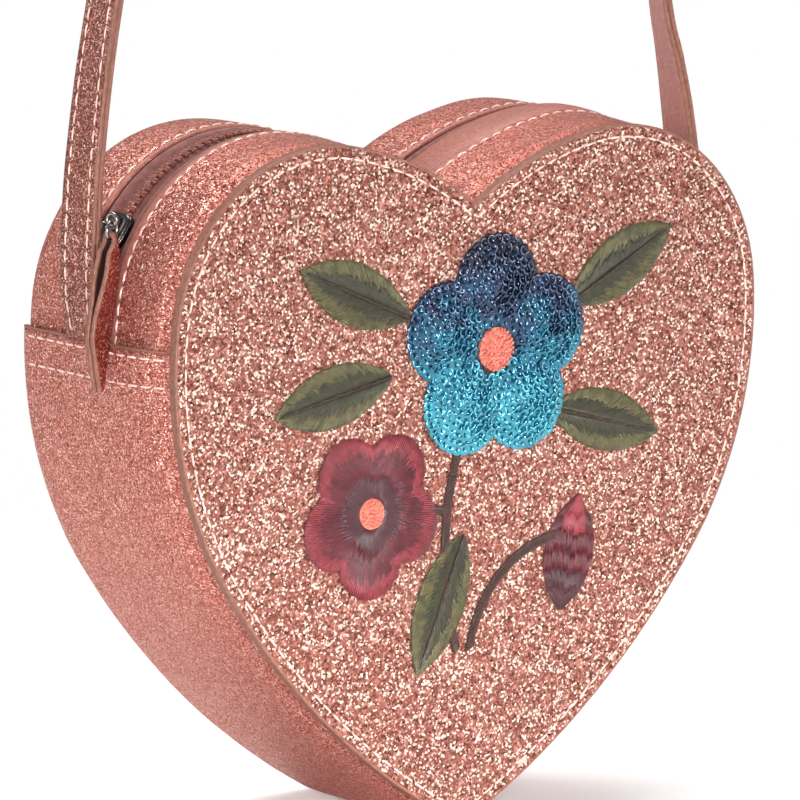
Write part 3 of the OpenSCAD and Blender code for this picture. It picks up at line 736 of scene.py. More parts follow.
def tape_loop(y0, y1):
    """The tape rises in a soft roll between the strip's edge and the coil, and dips beside the coil."""
    across = [0.3, 1.7, 2.1, 2.6, 3.6, 4.1, 4.6, 5.3, 6.0, 6.7, 7.2, 7.6, 9.0]
    height = [-0.1, -0.1, -0.4, -0.75, -0.7, -0.2, 0.35, 0.78, 0.85, 0.6, 0.2, -0.1, -0.1]
    top = [(y, TAPE_W + float(np.interp(abs(y - ZIP_Y), across, height))) for y in np.linspace(y0, y1, 40)]
    return top + [(y, TAPE_W - 1.1) for y in np.linspace(y1, y0, 8)]


for name, y0, y1 in (("zip_tape_front", ZIP_Y - SLOT - TAPE_OVERLAP, ZIP_Y - TAPE_SPLIT),
                     ("zip_tape_rear", ZIP_Y + TAPE_SPLIT, ZIP_Y + SLOT + TAPE_OVERLAP)):
    sweep(name + "_weave", strip_run, tape_loop(y0, y1), zip_tape, name)


def teeth_stations():
    """(side, centre, radius, angle, step) of each tooth of the front row; angles in degrees."""
    cleft = math.degrees(math.acos(-CROWN_C[0] / (CROWN_R + TEETH_W)))
    out, a = [], TEETH_A
    for centre, radius, last, spare in ((LOBE_C, LOBE_R, CROWN_A, 0), (CROWN_C, CROWN_R, cleft, TEETH_SPARE)):
        step = math.degrees(PITCH / (radius + TEETH_W))
        while a <= last - spare * step:
            out.append((centre, radius, a, step))
            a += step
        a = CROWN_A + (a - CROWN_A) * LOBE_R / CROWN_R
    return [(side, *s) for side in (-1, 1) for s in out]


def coil_row(name, phase, facing, replaced):
    """Loops of one coil; share runs along a loop, which reaches out from the zip line to its two ends."""
    share = np.linspace(-1, 1, 9)
    reach = np.where(np.abs(share) < 0.75, 0.35, 0.35 - (np.abs(share) - 0.75) * 4 * 2.3)
    paths, ups = [], []
    for side, centre, radius, angle, step in teeth_stations():
        a = math.radians(angle + phase * step)
        out, run = direction(a, side), np.array([-side * math.sin(a), 0, math.cos(a)])
        foot = place(side * centre[0], ZIP_Y, centre[1]) + out * (radius + TAPE_W + 0.55) * MM
        loop = foot + np.outer(share * 0.42, run) * MM + np.outer(facing * reach, [0, 1, 0]) * MM
        paths.append(loop + np.outer(0.28 * (1 - share**2), out) * MM)
        ups.append(out)
    make_object(name, tubes(paths, 0.36 * MM, ups, sides=7), [zip_coil], replaced)


coil_row("zip_coil_front", 0.0, 1, "zip_teeth_front")
coil_row("zip_coil_rear", 0.5, -1, "zip_teeth_rear")
print("loops in each row of the coil:", len(teeth_stations()))

# %% [markdown]
# The slider rides on the teeth of the left lobe. Its plates are shield-shaped with rounded rims; a bar on
# two posts carries the eye, and a jump ring carries the tab.

# %% Slider body
SLIDE = math.radians(149.5)
ACROSS, ALONG = direction(SLIDE), direction(SLIDE + math.pi / 2)
SIDEWAYS = np.array([0.0, 1.0, 0.0])
UP = np.array([0.0, 0.0, 1.0])
LEFT_LOBE = np.array([-LOBE_C[0], ZIP_Y, LOBE_C[1]])
ROOF, PLATE = 0.925, 0.845
WALL, WALL_FROM = 0.62, 3.0
RIMS = [(0.35, 0.0), (0.08, 0.12), (0.0, 0.3), (0.05, 0.55), (0.2, 0.75), (0.5, PLATE), (1.1, PLATE + 0.06)]


def slider_frame(u, v, t):
    """A point of the slider: u out of the bag, v across the zip, t along it towards the seam."""
    return place(*(LEFT_LOBE + ACROSS * (LOBE_R + u) + SIDEWAYS * v + ALONG * t))


def stack(outlines, levels):
    """A closed body from outlines (v, t) at rising levels u."""
    return skin([[slider_frame(u, v, t) for v, t in outline] for outline, u in zip(outlines, levels)])


def signed_power(value, power):
    return math.copysign(abs(value) ** power, value)


def shield(shrink, n=48):
    """Shield outline: wide towards the open end, waisted, and narrower at the other end."""
    half_l, wide, slim = 4.6 - shrink, 4.5 - shrink, 3.7 - shrink
    out = []
    for k in range(n):
        a = 2 * math.pi * k / n
        t = signed_power(math.cos(a), 0.55) * half_l
        width = wide if t < 0 else wide + (slim - wide) * (t / half_l)
        out.append((signed_power(math.sin(a), 0.6) * width * (1 - 0.06 * math.cos(math.pi * t / half_l)), t))
    return out


def flange(side):
    """A side wall of the slider, which wraps the teeth."""
    outer = sorted([p for p in shield(0.04) if p[0] * side > WALL_FROM], key=lambda p: p[1])
    loop = outer + [(v - side * WALL, t) for v, t in reversed(outer)]
    return stack([loop[::side]] * 4, [-0.45, -0.35, 0.6, ROOF + 0.05])


top_plate = stack([shield(shrink) for shrink, _ in RIMS], [ROOF + u for _, u in RIMS])
slider_parts = merge([face_out(*part) for part in (top_plate, flange(1), flange(-1))])
make_object("slider_plates", slider_parts, [slider_metal_painted_shade], "slider_body", "slider")

BAR_W = 3.97
posts = [np.array([slider_frame(BAR_W, 0, t) for t in np.linspace(-3.3, 3.3, 9)])]
for end in (-1, 1):
    path = [(ROOF + PLATE - 0.3, 3.45), (2.6, 3.5), (3.3, 3.4), (3.75, 3.1), (BAR_W, 2.6)]
    posts.append(np.array([slider_frame(u, 0, end * t) for u, t in smooth_curve(path, 9)]))
make_object("slider_arch", tubes(posts, 0.52 * MM, SIDEWAYS, sides=12), [slider_metal_painted_shade],
            "slider_bridge", "slider")
print("slider made")

# %% [markdown]
# The eye turns on the slider's bar, and its shank ends in a hook that carries the jump ring.

# %% Eye and jump ring
TURN, LEAN, EYE_LEAN = math.radians(21), math.radians(12), math.radians(59)
SHANK, HOOK_DROP, RING_R, RING_WIRE = 9.7, 2.6, 2.2, 0.4
W_AXIS = np.array([math.cos(TURN), math.sin(TURN), 0.0])
V_AXIS = np.array([-math.sin(TURN), math.cos(TURN), 0.0])
BAR_P = LEFT_LOBE + ACROSS * (LOBE_R + BAR_W)
EYE_DIR = ACROSS * math.cos(EYE_LEAN) - SIDEWAYS * math.sin(EYE_LEAN)
HOOK_P = BAR_P + EYE_DIR * SHANK
RING_P = HOOK_P - UP * HOOK_DROP


def torus(centre, radius, wire, axis_a, axis_b, n=40, sides=14):
    normal = np.cross(axis_a, axis_b)
    verts = []
    for i in range(n):
        a = 2 * math.pi * i / n
        out = math.cos(a) * axis_a + math.sin(a) * axis_b
        for j in range(sides):
            b = 2 * math.pi * j / sides
            verts.append(place(*(centre + out * (radius + wire * math.cos(b)) + normal * wire * math.sin(b))))
    return verts, grid_faces(n, sides, close_rows=True, close_cols=True)


shank_top = HOOK_P + UP * 1.3
shank = np.array([place(*(BAR_P + (shank_top - BAR_P) * f)) for f in np.linspace(0.13, 1.0, 10)])
shank_r = 0.42 * MM * np.array([1.15, 1.0, 0.95, 0.95, 0.95, 0.95, 0.95, 0.98, 1.0, 1.0])
eye_parts = [torus(BAR_P, 1.03, 0.42, EYE_DIR, np.cross(EYE_DIR, ALONG), 36, 12),
             tubes(shank[None], shank_r[None], ALONG, sides=12), torus(HOOK_P, 1.3, 0.45, V_AXIS, UP, 36, 14)]
eye_part = merge([face_out(*part) for part in eye_parts])
make_object("pull_eye_wire", eye_part, [bright_metal], "pull_eye", "pull_eye")
ring_part = torus(RING_P, RING_R, RING_WIRE, W_AXIS, UP)
make_object("pull_ring_wire", ring_part, [bright_metal], "jump_ring", "jump_ring")
print("eye and ring made, shank in mm:", SHANK)

# %% [markdown]
# The pull tab is one strip of glitter leather, folded over the ring. Its face is the bag's own glitter
# leather darkened to wine red as painted shade. Its two leaves meet at the lower end and gape a little below
# the neck, where the inner faces are painted near-black as shade. A path in the tab's own plane carries the
# strip round the wire, and the outline's half widths cut its neck and its slanted end.

# %% Pull tab
LEAF_T = 1.3
FOLD_R = 1.25
NECK_Z, SLANT_Z, CORNER_Z, TAB_END = -2.7, -24, -33.6, -35.75
TAB_HALF, NECK_HALF, NECK_R, CORNER_R = 4, 2.48, 3.1, 2.2


def pull_point(x, n, z):
    """A point of the tab: x across its width, n through its thickness, z up from the fold."""
    across = W_AXIS * math.cos(LEAN) - UP * math.sin(LEAN)
    upward = W_AXIS * math.sin(LEAN) + UP * math.cos(LEAN)
    return place(*(RING_P + across * x + V_AXIS * n + upward * (z - RING_R)))


def tab_width(z):
    """Left and right edge of the leaf at height z below the fold."""
    if z > NECK_Z:
        half = TAB_HALF - math.sqrt(max(0.0, NECK_R**2 - z * z))
        return -half, half
    half = NECK_HALF + (TAB_HALF - NECK_HALF) * min(1.0, (NECK_Z - z) / 16) ** 1.2
    left, right = -half, half
    if z < SLANT_Z:
        left = -TAB_HALF + (SLANT_Z - z) / 12 * 6.4
    if z < CORNER_Z:
        corner = CORNER_Z - z
        right = TAB_HALF - (CORNER_R - math.sqrt(max(0.0, CORNER_R**2 - corner * corner)))
    return left, max(right, left + 0.2)


def fold_path():
    """(n, z) up one leaf, round the ring's wire and down the other leaf."""
    heights = np.linspace(TAB_END, -4.5, 40)
    leaf = [(LEAF_T / 2 + 0.04 + 0.85 * math.exp(-(((z + 8.0) / 7.0) ** 2)), z) for z in heights]
    half = leaf + [(1.42, -3.2), (1.36, -2.0), (1.3, -1.0), (FOLD_R, 0.0)]
    top = [(FOLD_R * math.cos(a), FOLD_R * math.sin(a)) for a in np.linspace(0.35, math.pi - 0.35, 9)]
    return half + top + [(-n, z) for n, z in reversed(half)]


def pull_tab_mesh():
    """The folded leaf, with the material's number of each face: 0 outside, 1 painted edges, 2 inside, which
    is painted shade.
    """
    path = np.array(fold_path())
    half = LEAF_T / 2
    rows = []
    for (n, z), (slope_n, slope_z) in zip(path, slopes(path)):
        x0, x1 = tab_width(z)
        edge = min(0.45, (x1 - x0) * 0.3)
        swell = 0.05 * ripple(n * 3, 0, z, 5, 1.0)
        xs = np.linspace(x0 + edge, x1 - edge, 5)
        loop = [(x, half + swell) for x in xs] + [(x1, half * 0.55), (x1, -half * 0.55)]
        loop += [(x, -half) for x in reversed(xs)] + [(x0, -half * 0.55), (x0, half * 0.55)]
        rows.append([pull_point(x, n + slope_z * h, z - slope_n * h) for x, h in loop])
    picks = [0] * 4 + [1] * 3 + [2] * 4 + [1] * 3
    return skin(rows), picks * (len(rows) - 1) + [1, 1]


tab_part, tab_picks = pull_tab_mesh()
make_object("pull_tab_leather", tab_part, [pull_glitter_painted_shade, edge_paint, tab_inside_painted_shade], "pull_tab",
            "pull_tab", tab_picks)
print("pull tab made, length in mm:", -TAB_END)

# %% [markdown]
# The strap leaves both side seams upright, twists by some 20 degrees on the right and hangs over a half turn
# at the top. The same spline points as in the CAD carry two glued layers with painted edges.

# %% Strap
STRAP_W = 11.5
HANG_R, STRAP_HALF = 12.0, 1.23
HANG_C = np.array([0.0, STRAP_TOP - HANG_R - STRAP_HALF])
LEFT_LEG = [(-91.6, 16.4), (-92.5, 20.5), (-93.6, 27), (-94, 36), (-93.7, 47), (-93, 58.8), (-90.9, 77.5),
            (-87.9, 96.2), (-80.8, 134)]
RIGHT_LEG = [(91.6, 16.4), (92.5, 20.5), (93.3, 27), (93.4, 37), (92.6, 49), (90.2, 63), (87.3, 75.7),
             (84, 88.3), (76.5, 128)]
LEFT_TWIST = [0, 2, 5, 7, 7, 5, 3, 0, -1]
RIGHT_TWIST = [0, 0, 0, 1, 4, 8, 15, 21.5, 15]
SUB_STEPS, CLIMB_STEPS, OVER_STEPS = 6, 26, 24


def leg_points(leg, twist):
    """The spline of the CAD's strap with more steps: (x, z, twist) from the foot to the last typed point."""
    out = []
    pts = np.array(leg, float)
    for i in range(len(leg) - 1):
        near = pts[max(0, i - 1)], pts[i], pts[i + 1], pts[min(len(leg) - 1, i + 2)]
        for k in range(SUB_STEPS):
            f = k / SUB_STEPS
            out.append((*spline(*near, f), twist[i] + (twist[i + 1] - twist[i]) * f))
    return out


def lean_angle(foot):
    v = HANG_C - np.array(foot, float)
    return math.degrees(math.atan2(abs(v[0]), v[1])) - math.degrees(math.asin(HANG_R / np.linalg.norm(v)))


def climb(foot, angle, twist):
    """The straight run from a leg's last typed point to the half turn, in which the twist fades."""
    p, n = np.array(foot, float), CLIMB_STEPS
    way = polar(HANG_C, HANG_R, angle) - p
    return [(*(p + way * k / n), twist * max(0, 1 - 3.5 * k / n)) for k in range(n)]


def strap_points():
    first, last = 180 - lean_angle(LEFT_LEG[-1]), lean_angle(RIGHT_LEG[-1])
    left = leg_points(LEFT_LEG, LEFT_TWIST) + climb(LEFT_LEG[-1], first, LEFT_TWIST[-1])
    right = leg_points(RIGHT_LEG, RIGHT_TWIST) + climb(RIGHT_LEG[-1], last, RIGHT_TWIST[-1])
    angles = [first + (last - first) * k / OVER_STEPS for k in range(OVER_STEPS + 1)]
    return np.array(left + [(*polar(HANG_C, HANG_R, a), 0.0) for a in angles] + right[::-1])


def strap_frames():
    """Centre, width direction and outer normal of each station, in the outline's own frame."""
    line = strap_points()
    out = []
    for (x, z, twist), (dx, dz) in zip(line, slopes(line[:, :2])):
        t = math.radians(twist)
        n = np.array([-dz, 0, dx])
        wide = SIDEWAYS * math.cos(t) + n * math.sin(t)
        out.append((np.array([x, ZIP_Y, z]), wide, n * math.cos(t) - SIDEWAYS * math.sin(t)))
    return out


frames = strap_frames()


def strap_layer(name, low, high, material, replaced, bevel, wave):
    """One layer of the strap between the heights low and high, with rounded painted edges."""
    rows = []
    for i, (p, wide, nrm) in enumerate(frames):
        w = STRAP_W / 2 + 0.1 * ripple(i * 2.0, 0, 0, 26, low)
        lift = wave * ripple(p[0], 0, p[2], 13, high)
        xs = np.linspace(-w + bevel, w - bevel, 7)
        rim = [(w - bevel * 0.3, high - bevel * 0.4), (w, high - bevel), (w, low + bevel),
               (w - bevel * 0.3, low + bevel * 0.4)]
        loop = [(x, high + lift) for x in xs] + rim
        loop += [(x, low) for x in reversed(xs)] + [(-x, h) for x, h in reversed(rim)]
        rows.append([place(*(p + wide * x + nrm * h)) for x, h in loop])
    picks = [0] * 6 + [1] * 5 + [0] * 6 + [1] * 5
    picks = picks * (len(rows) - 1) + [1, 1]
    make_object(name, skin(rows), [material, edge_paint], replaced, picks=picks)


def strap_rows(outer, level, inset):
    """Two rows on the glitter side (outer 1) or on the plain side (outer -1)."""
    rows = []
    for edge in (-1, 1):
        points = [place(*(p + wide * edge * (STRAP_W / 2 - inset) + nrm * level)) for p, wide, nrm in frames]
        rows.append(stitch_row(points[3:-3], [nrm * outer for _, _, nrm in frames[3:-3]], 4.1))
    return rows


strap_layer("strap_glitter_side", -0.08, STRAP_HALF + 0.08, strap_glitter, "strap_face",
            0.42, 0.12)
strap_layer("strap_leather_side", -STRAP_HALF, -0.09, strap_split, "strap_backing",
            0.2, 0.05)
outer_rows, inner_rows = strap_rows(1, STRAP_HALF + 0.1, 2.1), strap_rows(-1, -STRAP_HALF, 1.5)
stitch_bundle("strap_stitches", outer_rows, 0.26, sewing_thread, 0.2)
stitch_bundle("strap_back_stitches", inner_rows, 0.2, seam_thread, 0.12)
strap_length = run_length(strap_points()[:, :2])[-1]
print("strap length in mm:", round(float(strap_length)))

# %% [markdown]
# The needlework is a flower spray: one sequinned blossom, one satin blossom, a bud, five leaves and brown
# stems. Every thread is a tube that follows a real stitch: slanting out from a leaf's rib, fanning over a
# petal, or wrapped askew round a stem. Each motif has a padded base, so no leather shows between threads.

# %% Needlework helpers
rng = random.Random(20)
FRONTWARDS = (0, -1.0, 0)
BURIED = -0.3


def from_centre(x, z):
    """Angle and distance of a point from the front panel's middle."""
    return math.atan2(z - CENTRE[1], x - CENTRE[0]), math.hypot(x - CENTRE[0], z - CENTRE[1])


EDGE_ANGLE, EDGE_REACH = zip(*sorted(from_centre(*outline_point(*s, -STITCH_IN)) for s in whole))


def face_y(x, z):
    """Depth of the front face at (x, z), with the same swell as the panel."""
    angle, distance = from_centre(x, z)
    reach = np.interp(angle, EDGE_ANGLE, EDGE_REACH, period=2 * math.pi)
    return -HALF + front_swell(x, z, 1 - min(1.0, distance / reach))


def on_face(x, z, height):
    return place(x, face_y(x, z) - height, z)


def pad(name, outline, middle, base_h, crown, material, replaced, rings=5):
    """A closed padded base inside a flat outline, highest at its middle."""
    outline, middle = np.asarray(outline, float), np.asarray(middle, float)
    n, last = len(outline), rings * len(outline)
    verts = [on_face(x, z, BURIED) for x, z in outline]
    for k in range(rings):
        f = k / rings
        h = base_h + crown * math.sin(f * math.pi / 2)
        verts += [on_face(*(p + (middle - p) * f), h) for p in outline]
    verts += [on_face(*middle, base_h + crown), on_face(*middle, BURIED)]
    faces = grid_faces(rings + 1, n, close_cols=True)
    faces += [(last + i, last + (i + 1) % n, last + n) for i in range(n)]
    faces += [((i + 1) % n, i, last + n + 1) for i in range(n)]
    make_object(name, (verts, faces), [material], replaced)


def threads(name, stitches, radius_mm, materials, replaced, points=5, sides=5):
    """A bowed thread over each straight run (start, end, height, number of its material)."""
    shares = [k / (points - 1) for k in range(points)]
    bow = [0.25 + 0.75 * math.sin(math.pi * min(max(f, 0.08), 0.92)) ** 0.6 for f in shares]
    paths = []
    for p, q, height, _ in stitches:
        p, q = np.array(p), np.array(q)
        paths.append([on_face(*(p + (q - p) * f), height * lift) for f, lift in zip(shares, bow)])
    picks = [stitch[3] for stitch in stitches for _ in range((points - 1) * sides + 2)]
    part = tubes(paths, radius_mm * MM, FRONTWARDS, sides)
    make_object(name, part, materials, replaced, picks=picks)


def turned(centre, angle, s, t):
    """Point at distance s along a direction and t to its left."""
    a = math.radians(angle)
    return (centre[0] + s * math.cos(a) - t * math.sin(a), centre[1] + s * math.sin(a) + t * math.cos(a))


def lens_length(r, half):
    """Half the length of a lens between two arcs of radius r; half is half its width."""
    return math.sqrt(r * r - (r - half) ** 2)


def lens_half(r, half, s):
    return max(0.0, math.sqrt(max(0.0, r * r - s * s)) - (r - half))


def lens_outline(centre, angle, r, half, n=22):
    ss = [lens_length(r, half) * math.sin(math.pi / 2 * k / n) for k in range(-n, n + 1)]
    top = [turned(centre, angle, s, lens_half(r, half, s)) for s in ss]
    low = [turned(centre, angle, s, -lens_half(r, half, s)) for s in reversed(ss[1:-1])]
    return top[::-1] + low[::-1]


print("front face at its middle, y in mm:", round(face_y(*CENTRE), 2))

# %% Leaves
LEAVES = [((-37, 27), 158), ((45, 29), 28), ((41, -9), -14), ((-9, -50), -112), ((-43, 3), 192)]
LEAF_R, LEAF_HALF, LEAF_PITCH, RIB = 26.0, 7.4, 0.43, 0.25
LEAF_END, LEAF_CUT_SHARE, LEAF_THREAD_R = 0.8, 0.46, 0.25
INNER_HIGH, OUTER_HIGH, RIB_HIGH = 0.5, 0.44, 0.72


def leaf_threads(centre, angle):
    """Two overlapping threads of two greens on each side of the rib, and the rib itself."""
    def at(s, t):
        return turned(centre, angle, s, t)

    stitches = []
    length = lens_length(LEAF_R, LEAF_HALF)
    s = -length + LEAF_END
    while s < length - LEAF_END:
        tip = min(length - 0.3, s + 0.75 * lens_half(LEAF_R, LEAF_HALF, s) + 1.2)
        for side in (-1, 1):
            end_t = lens_half(LEAF_R, LEAF_HALF, tip) + rng.uniform(-0.15, 0.2)
            cut = LEAF_CUT_SHARE + rng.uniform(-0.14, 0.14)
            mid_t = RIB + (end_t - RIB) * cut
            inner_end = at(s + (tip - s) * (cut + 0.06), side * (mid_t + 0.3))
            stitches.append((at(s, side * RIB), inner_end, INNER_HIGH + rng.uniform(-0.04, 0.06), 1))
            outer = at(s + (tip - s) * cut, side * mid_t), at(tip, side * end_t)
            stitches.append((*outer, OUTER_HIGH + rng.uniform(-0.04, 0.06), 0))
        s += LEAF_PITCH
    rib = [at(s, 0) for s in np.linspace(-length + 0.4, length - 2.5, 9)]
    return stitches + [(p, q, RIB_HIGH, 2) for p, q in zip(rib[:-1], rib[1:])]


for k, (centre, angle) in enumerate(LEAVES):
    outline = lens_outline(centre, angle, LEAF_R, LEAF_HALF - 0.25)
    pad("leaf_padding_%d" % (k + 1), outline, centre, 0.08, 0.2, leaf_dark, "stitched_leaves")
stitches = [stitch for leaf in LEAVES for stitch in leaf_threads(*leaf)]
greens = [leaf_thread, leaf_dark, stem_thread]
threads("leaf_stitching", stitches, LEAF_THREAD_R, greens, "stitched_leaves")
print("leaf threads:", len(stitches))

# %% Stems
STEMS = [((70, -36), 78, 146, 199), ((-12, -65), 38, 82.5, 121), ((30, -66), 30, 81, 171)]
STEM_PITCH, STEM_REACH, STEM_SLANT, STEM_HIGH, STEM_THREAD_R, CORE_HALF = 0.5, 1.15, 1.5, 0.42, 0.27, 1


def stem_threads(centre, r, a0, a1):
    stitches = []
    count = int(math.radians(a1 - a0) * r / STEM_PITCH)
    for k in range(count):
        a = a0 + (a1 - a0) * k / count
        p = polar(centre, r - STEM_REACH + rng.uniform(-0.1, 0.1), a)
        q = polar(centre, r + STEM_REACH + rng.uniform(-0.1, 0.1), a + math.degrees(STEM_SLANT / r))
        stitches.append((p, q, STEM_HIGH + rng.uniform(-0.03, 0.05), 0))
    return stitches


def stem_core(name, centre, r, a0, a1):
    """A low closed bed under the wrapped stitches."""
    rows = []
    for a in np.linspace(a0, a1, 40):
        p, q = polar(centre, r + CORE_HALF, a), polar(centre, r - CORE_HALF, a)
        section = ((0, BURIED), (0, 0.1), (0.5, 0.3), (1, 0.1), (1, BURIED))
        rows.append([on_face(*(p + (q - p) * f), h) for f, h in section])
    make_object(name, skin(rows), [stem_thread], "stitched_stems")


stitches = [stitch for stem in STEMS for stitch in stem_threads(*stem)]
threads("stem_stitching", stitches, STEM_THREAD_R, [stem_thread], "stitched_stems")
for k, stem in enumerate(STEMS):
    stem_core("stem_core_%d" % (k + 1), *stem)
print("stem threads:", len(stitches))

# %% [markdown]
# The satin blossom has five petals. Each one is filled from its middle to its rim by three rings of threads
# that lap over one another, dark inside and light at the rim. The bud's threads run along it.

# %% Satin blossom and bud
SMALL_C, SMALL_PETAL, SMALL_REACH, SMALL_FIRST = (-31, -26), 9.4, 11.4, 54
LARGE_C, LARGE_PETAL, LARGE_REACH, LARGE_FIRST = (6, 11), 12.6, 15.4, 90
BUD_C, BUD_ANGLE, BUD_R, BUD_HALF, BUD_ROWS = (31, -41), 80, 17.0, 8.0, 34
PETALS, PETAL_TURN = 5, 72
SATIN_FROM, SATIN_CUT_SHARES, SATIN_LAP, SATIN_THREAD_R, BUD_THREAD_R = 3.2, (0.36, 0.68), 0.8, 0.24, 0.25
SATIN = [petal_thread, petal_light, petal_dark]


def petal_outline(centre, reach, petal, base_angle, spread, n):
    """The part of a petal's circle that lies in its own sector, seen from the blossom's middle."""
    out = []
    for k in range(n + 1):
        a = math.radians(base_angle - spread + 2 * spread * k / n)
        off = a - math.radians(base_angle)
        across = reach * math.sin(off)
        far = reach * math.cos(off) + math.sqrt(max(0.0, petal * petal - across * across))
        out.append((centre[0] + far * math.cos(a), centre[1] + far * math.sin(a)))
    return out


def petal_pads(name, centre, reach, petal, first, middle_at, base_h, crown, material, replaced):
    """One padded base under every petal of a blossom."""
    for k in range(PETALS):
        base = first + PETAL_TURN * k
        rim = petal_outline(centre, reach, petal, base, 36, 20)
        middle = polar(centre, middle_at, base)
        pad("%s_%d" % (name, k + 1), rim + [centre], middle, base_h, crown, material, replaced)


def satin_petal_threads(base):
    """Three rings of threads that overlap, and a shorter one between each two at the rim."""
    stitches = []
    middle = np.array(SMALL_C)
    rim = np.array(petal_outline(SMALL_C, SMALL_REACH, SMALL_PETAL, base, 37, 44))
    for j, end in enumerate(rim):
        share = j / (len(rim) - 1)
        crown = 0.35 + 0.35 * math.sin(math.pi * share)
        way = end - middle
        near, far = SATIN_FROM, np.linalg.norm(way)
        way = way / far
        side = np.array([-way[1], way[0]]) * (share - 0.5) * 1.2
        cut1 = near + (far - near) * (SATIN_CUT_SHARES[0] + rng.uniform(-0.08, 0.08))
        cut2 = near + (far - near) * (SATIN_CUT_SHARES[1] + rng.uniform(-0.09, 0.09))
        rim_end = far + rng.uniform(-0.25, 0.25)
        for r0, r1, pick in ((near, cut1 + SATIN_LAP, 2), (cut1, cut2 + SATIN_LAP, 0), (cut2, rim_end, 1)):
            height = crown + (0.06 if pick == 0 else 0.0) + rng.uniform(-0.03, 0.04)
            stitches.append((middle + way * r0 + side, middle + way * r1 + side * 0.4, height, pick))
        if j < len(rim) - 1:
            between = (rim[j] + rim[j + 1]) / 2
            stitches.append((between + (middle - between) * 0.62, between, crown - 0.03, 0))
    return stitches


def bud_threads():
    stitches = []
    length = lens_length(BUD_R, BUD_HALF)
    steps = np.linspace(-length + 0.4, length - 0.4, 7)
    for k in range(BUD_ROWS):
        f = -1 + 2 * (k + 0.5) / BUD_ROWS
        crown = 0.25 + 0.45 * math.cos(f * math.pi / 2)
        shift = rng.uniform(-0.9, 0.9)
        for j in range(6):
            ends = steps[j] + (shift if j else 0), steps[j + 1] + (shift if j < 5 else 0) + 0.5
            p, q = (turned(BUD_C, BUD_ANGLE, s, f * lens_half(BUD_R, BUD_HALF, min(length, s))) for s in ends)
            pick = 2 if j < 2 else (1 if j > 3 and abs(f) < 0.6 else 0)
            stitches.append((p, q, crown + rng.uniform(-0.02, 0.05), pick))
    return stitches


petal_pads("petal_padding", SMALL_C, SMALL_REACH, SMALL_PETAL - 0.2, SMALL_FIRST, 10, 0.1, 0.3, petal_thread,
           "satin_blossom")
stitches = [stitch for k in range(PETALS) for stitch in satin_petal_threads(SMALL_FIRST + PETAL_TURN * k)]
threads("satin_petals", stitches, SATIN_THREAD_R, SATIN, "satin_blossom", points=4)
pad("bud_padding", lens_outline(BUD_C, BUD_ANGLE, BUD_R, BUD_HALF - 0.2), BUD_C, 0.1, 0.35, petal_thread,
    "satin_bud")
threads("bud_stitching", bud_threads(), BUD_THREAD_R, SATIN, "satin_bud", points=4)
print("satin threads of the blossom:", len(stitches))

# %% [markdown]
# Each sequin is a cupped film disc with a hole. They are laid in arcs from a petal's rim towards its middle,
# each row lapping over the one behind it like roof tiles.

# %% Sequins
SEQUIN_PITCH, SEQUIN_ROW, SEQUIN_SIDES, PETAL_SPREAD = 2.15, 1.75, 14, 36.5
SEQUIN_INSET, SEQUIN_LEAN, SEQUIN_HIGH, SEQUIN_RISE, KNOTS_REACH = 1.35, 9, 0.55, 0.2, 6.2
SEQUIN_RINGS = ((0.22, 0.0), (0.75, -0.02), (1.25, 0.1), (1.6, 0.3), (1.55, 0.36), (0.22, 0.07))


def sequin_places():
    """(point, direction, radius in its petal) of each sequin."""
    out = []
    for k in range(PETALS):
        base = LARGE_FIRST + PETAL_TURN * k
        mid = polar(LARGE_C, LARGE_REACH, base)
        r = LARGE_PETAL - SEQUIN_INSET
        while r > 0.4:
            count = max(1, int(2 * math.pi * r / SEQUIN_PITCH))
            for j in range(count):
                b = 2 * math.pi * (j + 0.5 * (int(r * 10) % 2)) / count
                p = mid + r * np.array([math.cos(b), math.sin(b)])
                way = p - np.array(LARGE_C)
                off = (math.degrees(math.atan2(way[1], way[0])) - base + 180) % 360 - 180
                if abs(off) < PETAL_SPREAD and np.linalg.norm(way) > KNOTS_REACH:
                    out.append((p, b, r))
            r -= SEQUIN_ROW
    return out


def sequin_disc(p, b, r):
    """One disc that leans inwards, so that it lies on the row behind it."""
    lean = math.radians(SEQUIN_LEAN + rng.uniform(-7, 9))
    out, up = direction(b), np.array(FRONTWARDS)
    u = out * math.cos(lean) - up * math.sin(lean)
    v = np.array([-math.sin(b), 0, math.cos(b)]) + up * rng.uniform(-0.16, 0.16)
    n = np.cross(v, u)
    n = n if n[1] < 0 else -n
    centre = on_face(*p, SEQUIN_HIGH + SEQUIN_RISE * (1 - r / LARGE_PETAL) + rng.uniform(0, 0.06)) / MM
    turns = [2 * math.pi * k / SEQUIN_SIDES for k in range(SEQUIN_SIDES)]
    rows = []
    for radius, cup in SEQUIN_RINGS:
        rows.append([(centre + (u * math.cos(t) + v * math.sin(t)) * radius + n * cup) * MM for t in turns])
    return skin(rows, closed=True)


places = sequin_places()
discs = merge([sequin_disc(*spot) for spot in places])
make_object("blossom_sequins", discs, [sequins], "sequin_blossom")
petal_pads("sequin_bed", LARGE_C, LARGE_REACH, LARGE_PETAL - 0.9, LARGE_FIRST, 13, 0.15, 0.15, sequin_felt,
           "sequin_blossom")
print("sequins:", len(places))

# %% Knots in the blossoms
KNOT_PITCH, KNOT_ROW, KNOT_CROWN, KNOT_BED_SHARE = 1.05, 0.98, 0.35, 0.36
KNOT_THREAD_R, KNOT_LOOP_R, KNOT_TURNS = 0.24, 0.3, 9
KNOTS = (("large_knot_bed", LARGE_C, LARGE_REACH * KNOT_BED_SHARE, 0.75),
         ("small_knot_bed", SMALL_C, SMALL_REACH * KNOT_BED_SHARE, 0.8))


def knot_spots(radius):
    """(distance, angle) of the knots, in rings."""
    spots = [(0.0, 0.0)]
    ring = KNOT_PITCH
    while ring < radius - 0.3:
        count = int(2 * math.pi * ring / KNOT_PITCH)
        spots += [(ring, 2 * math.pi * k / count + ring) for k in range(count)]
        ring += KNOT_ROW
    return spots


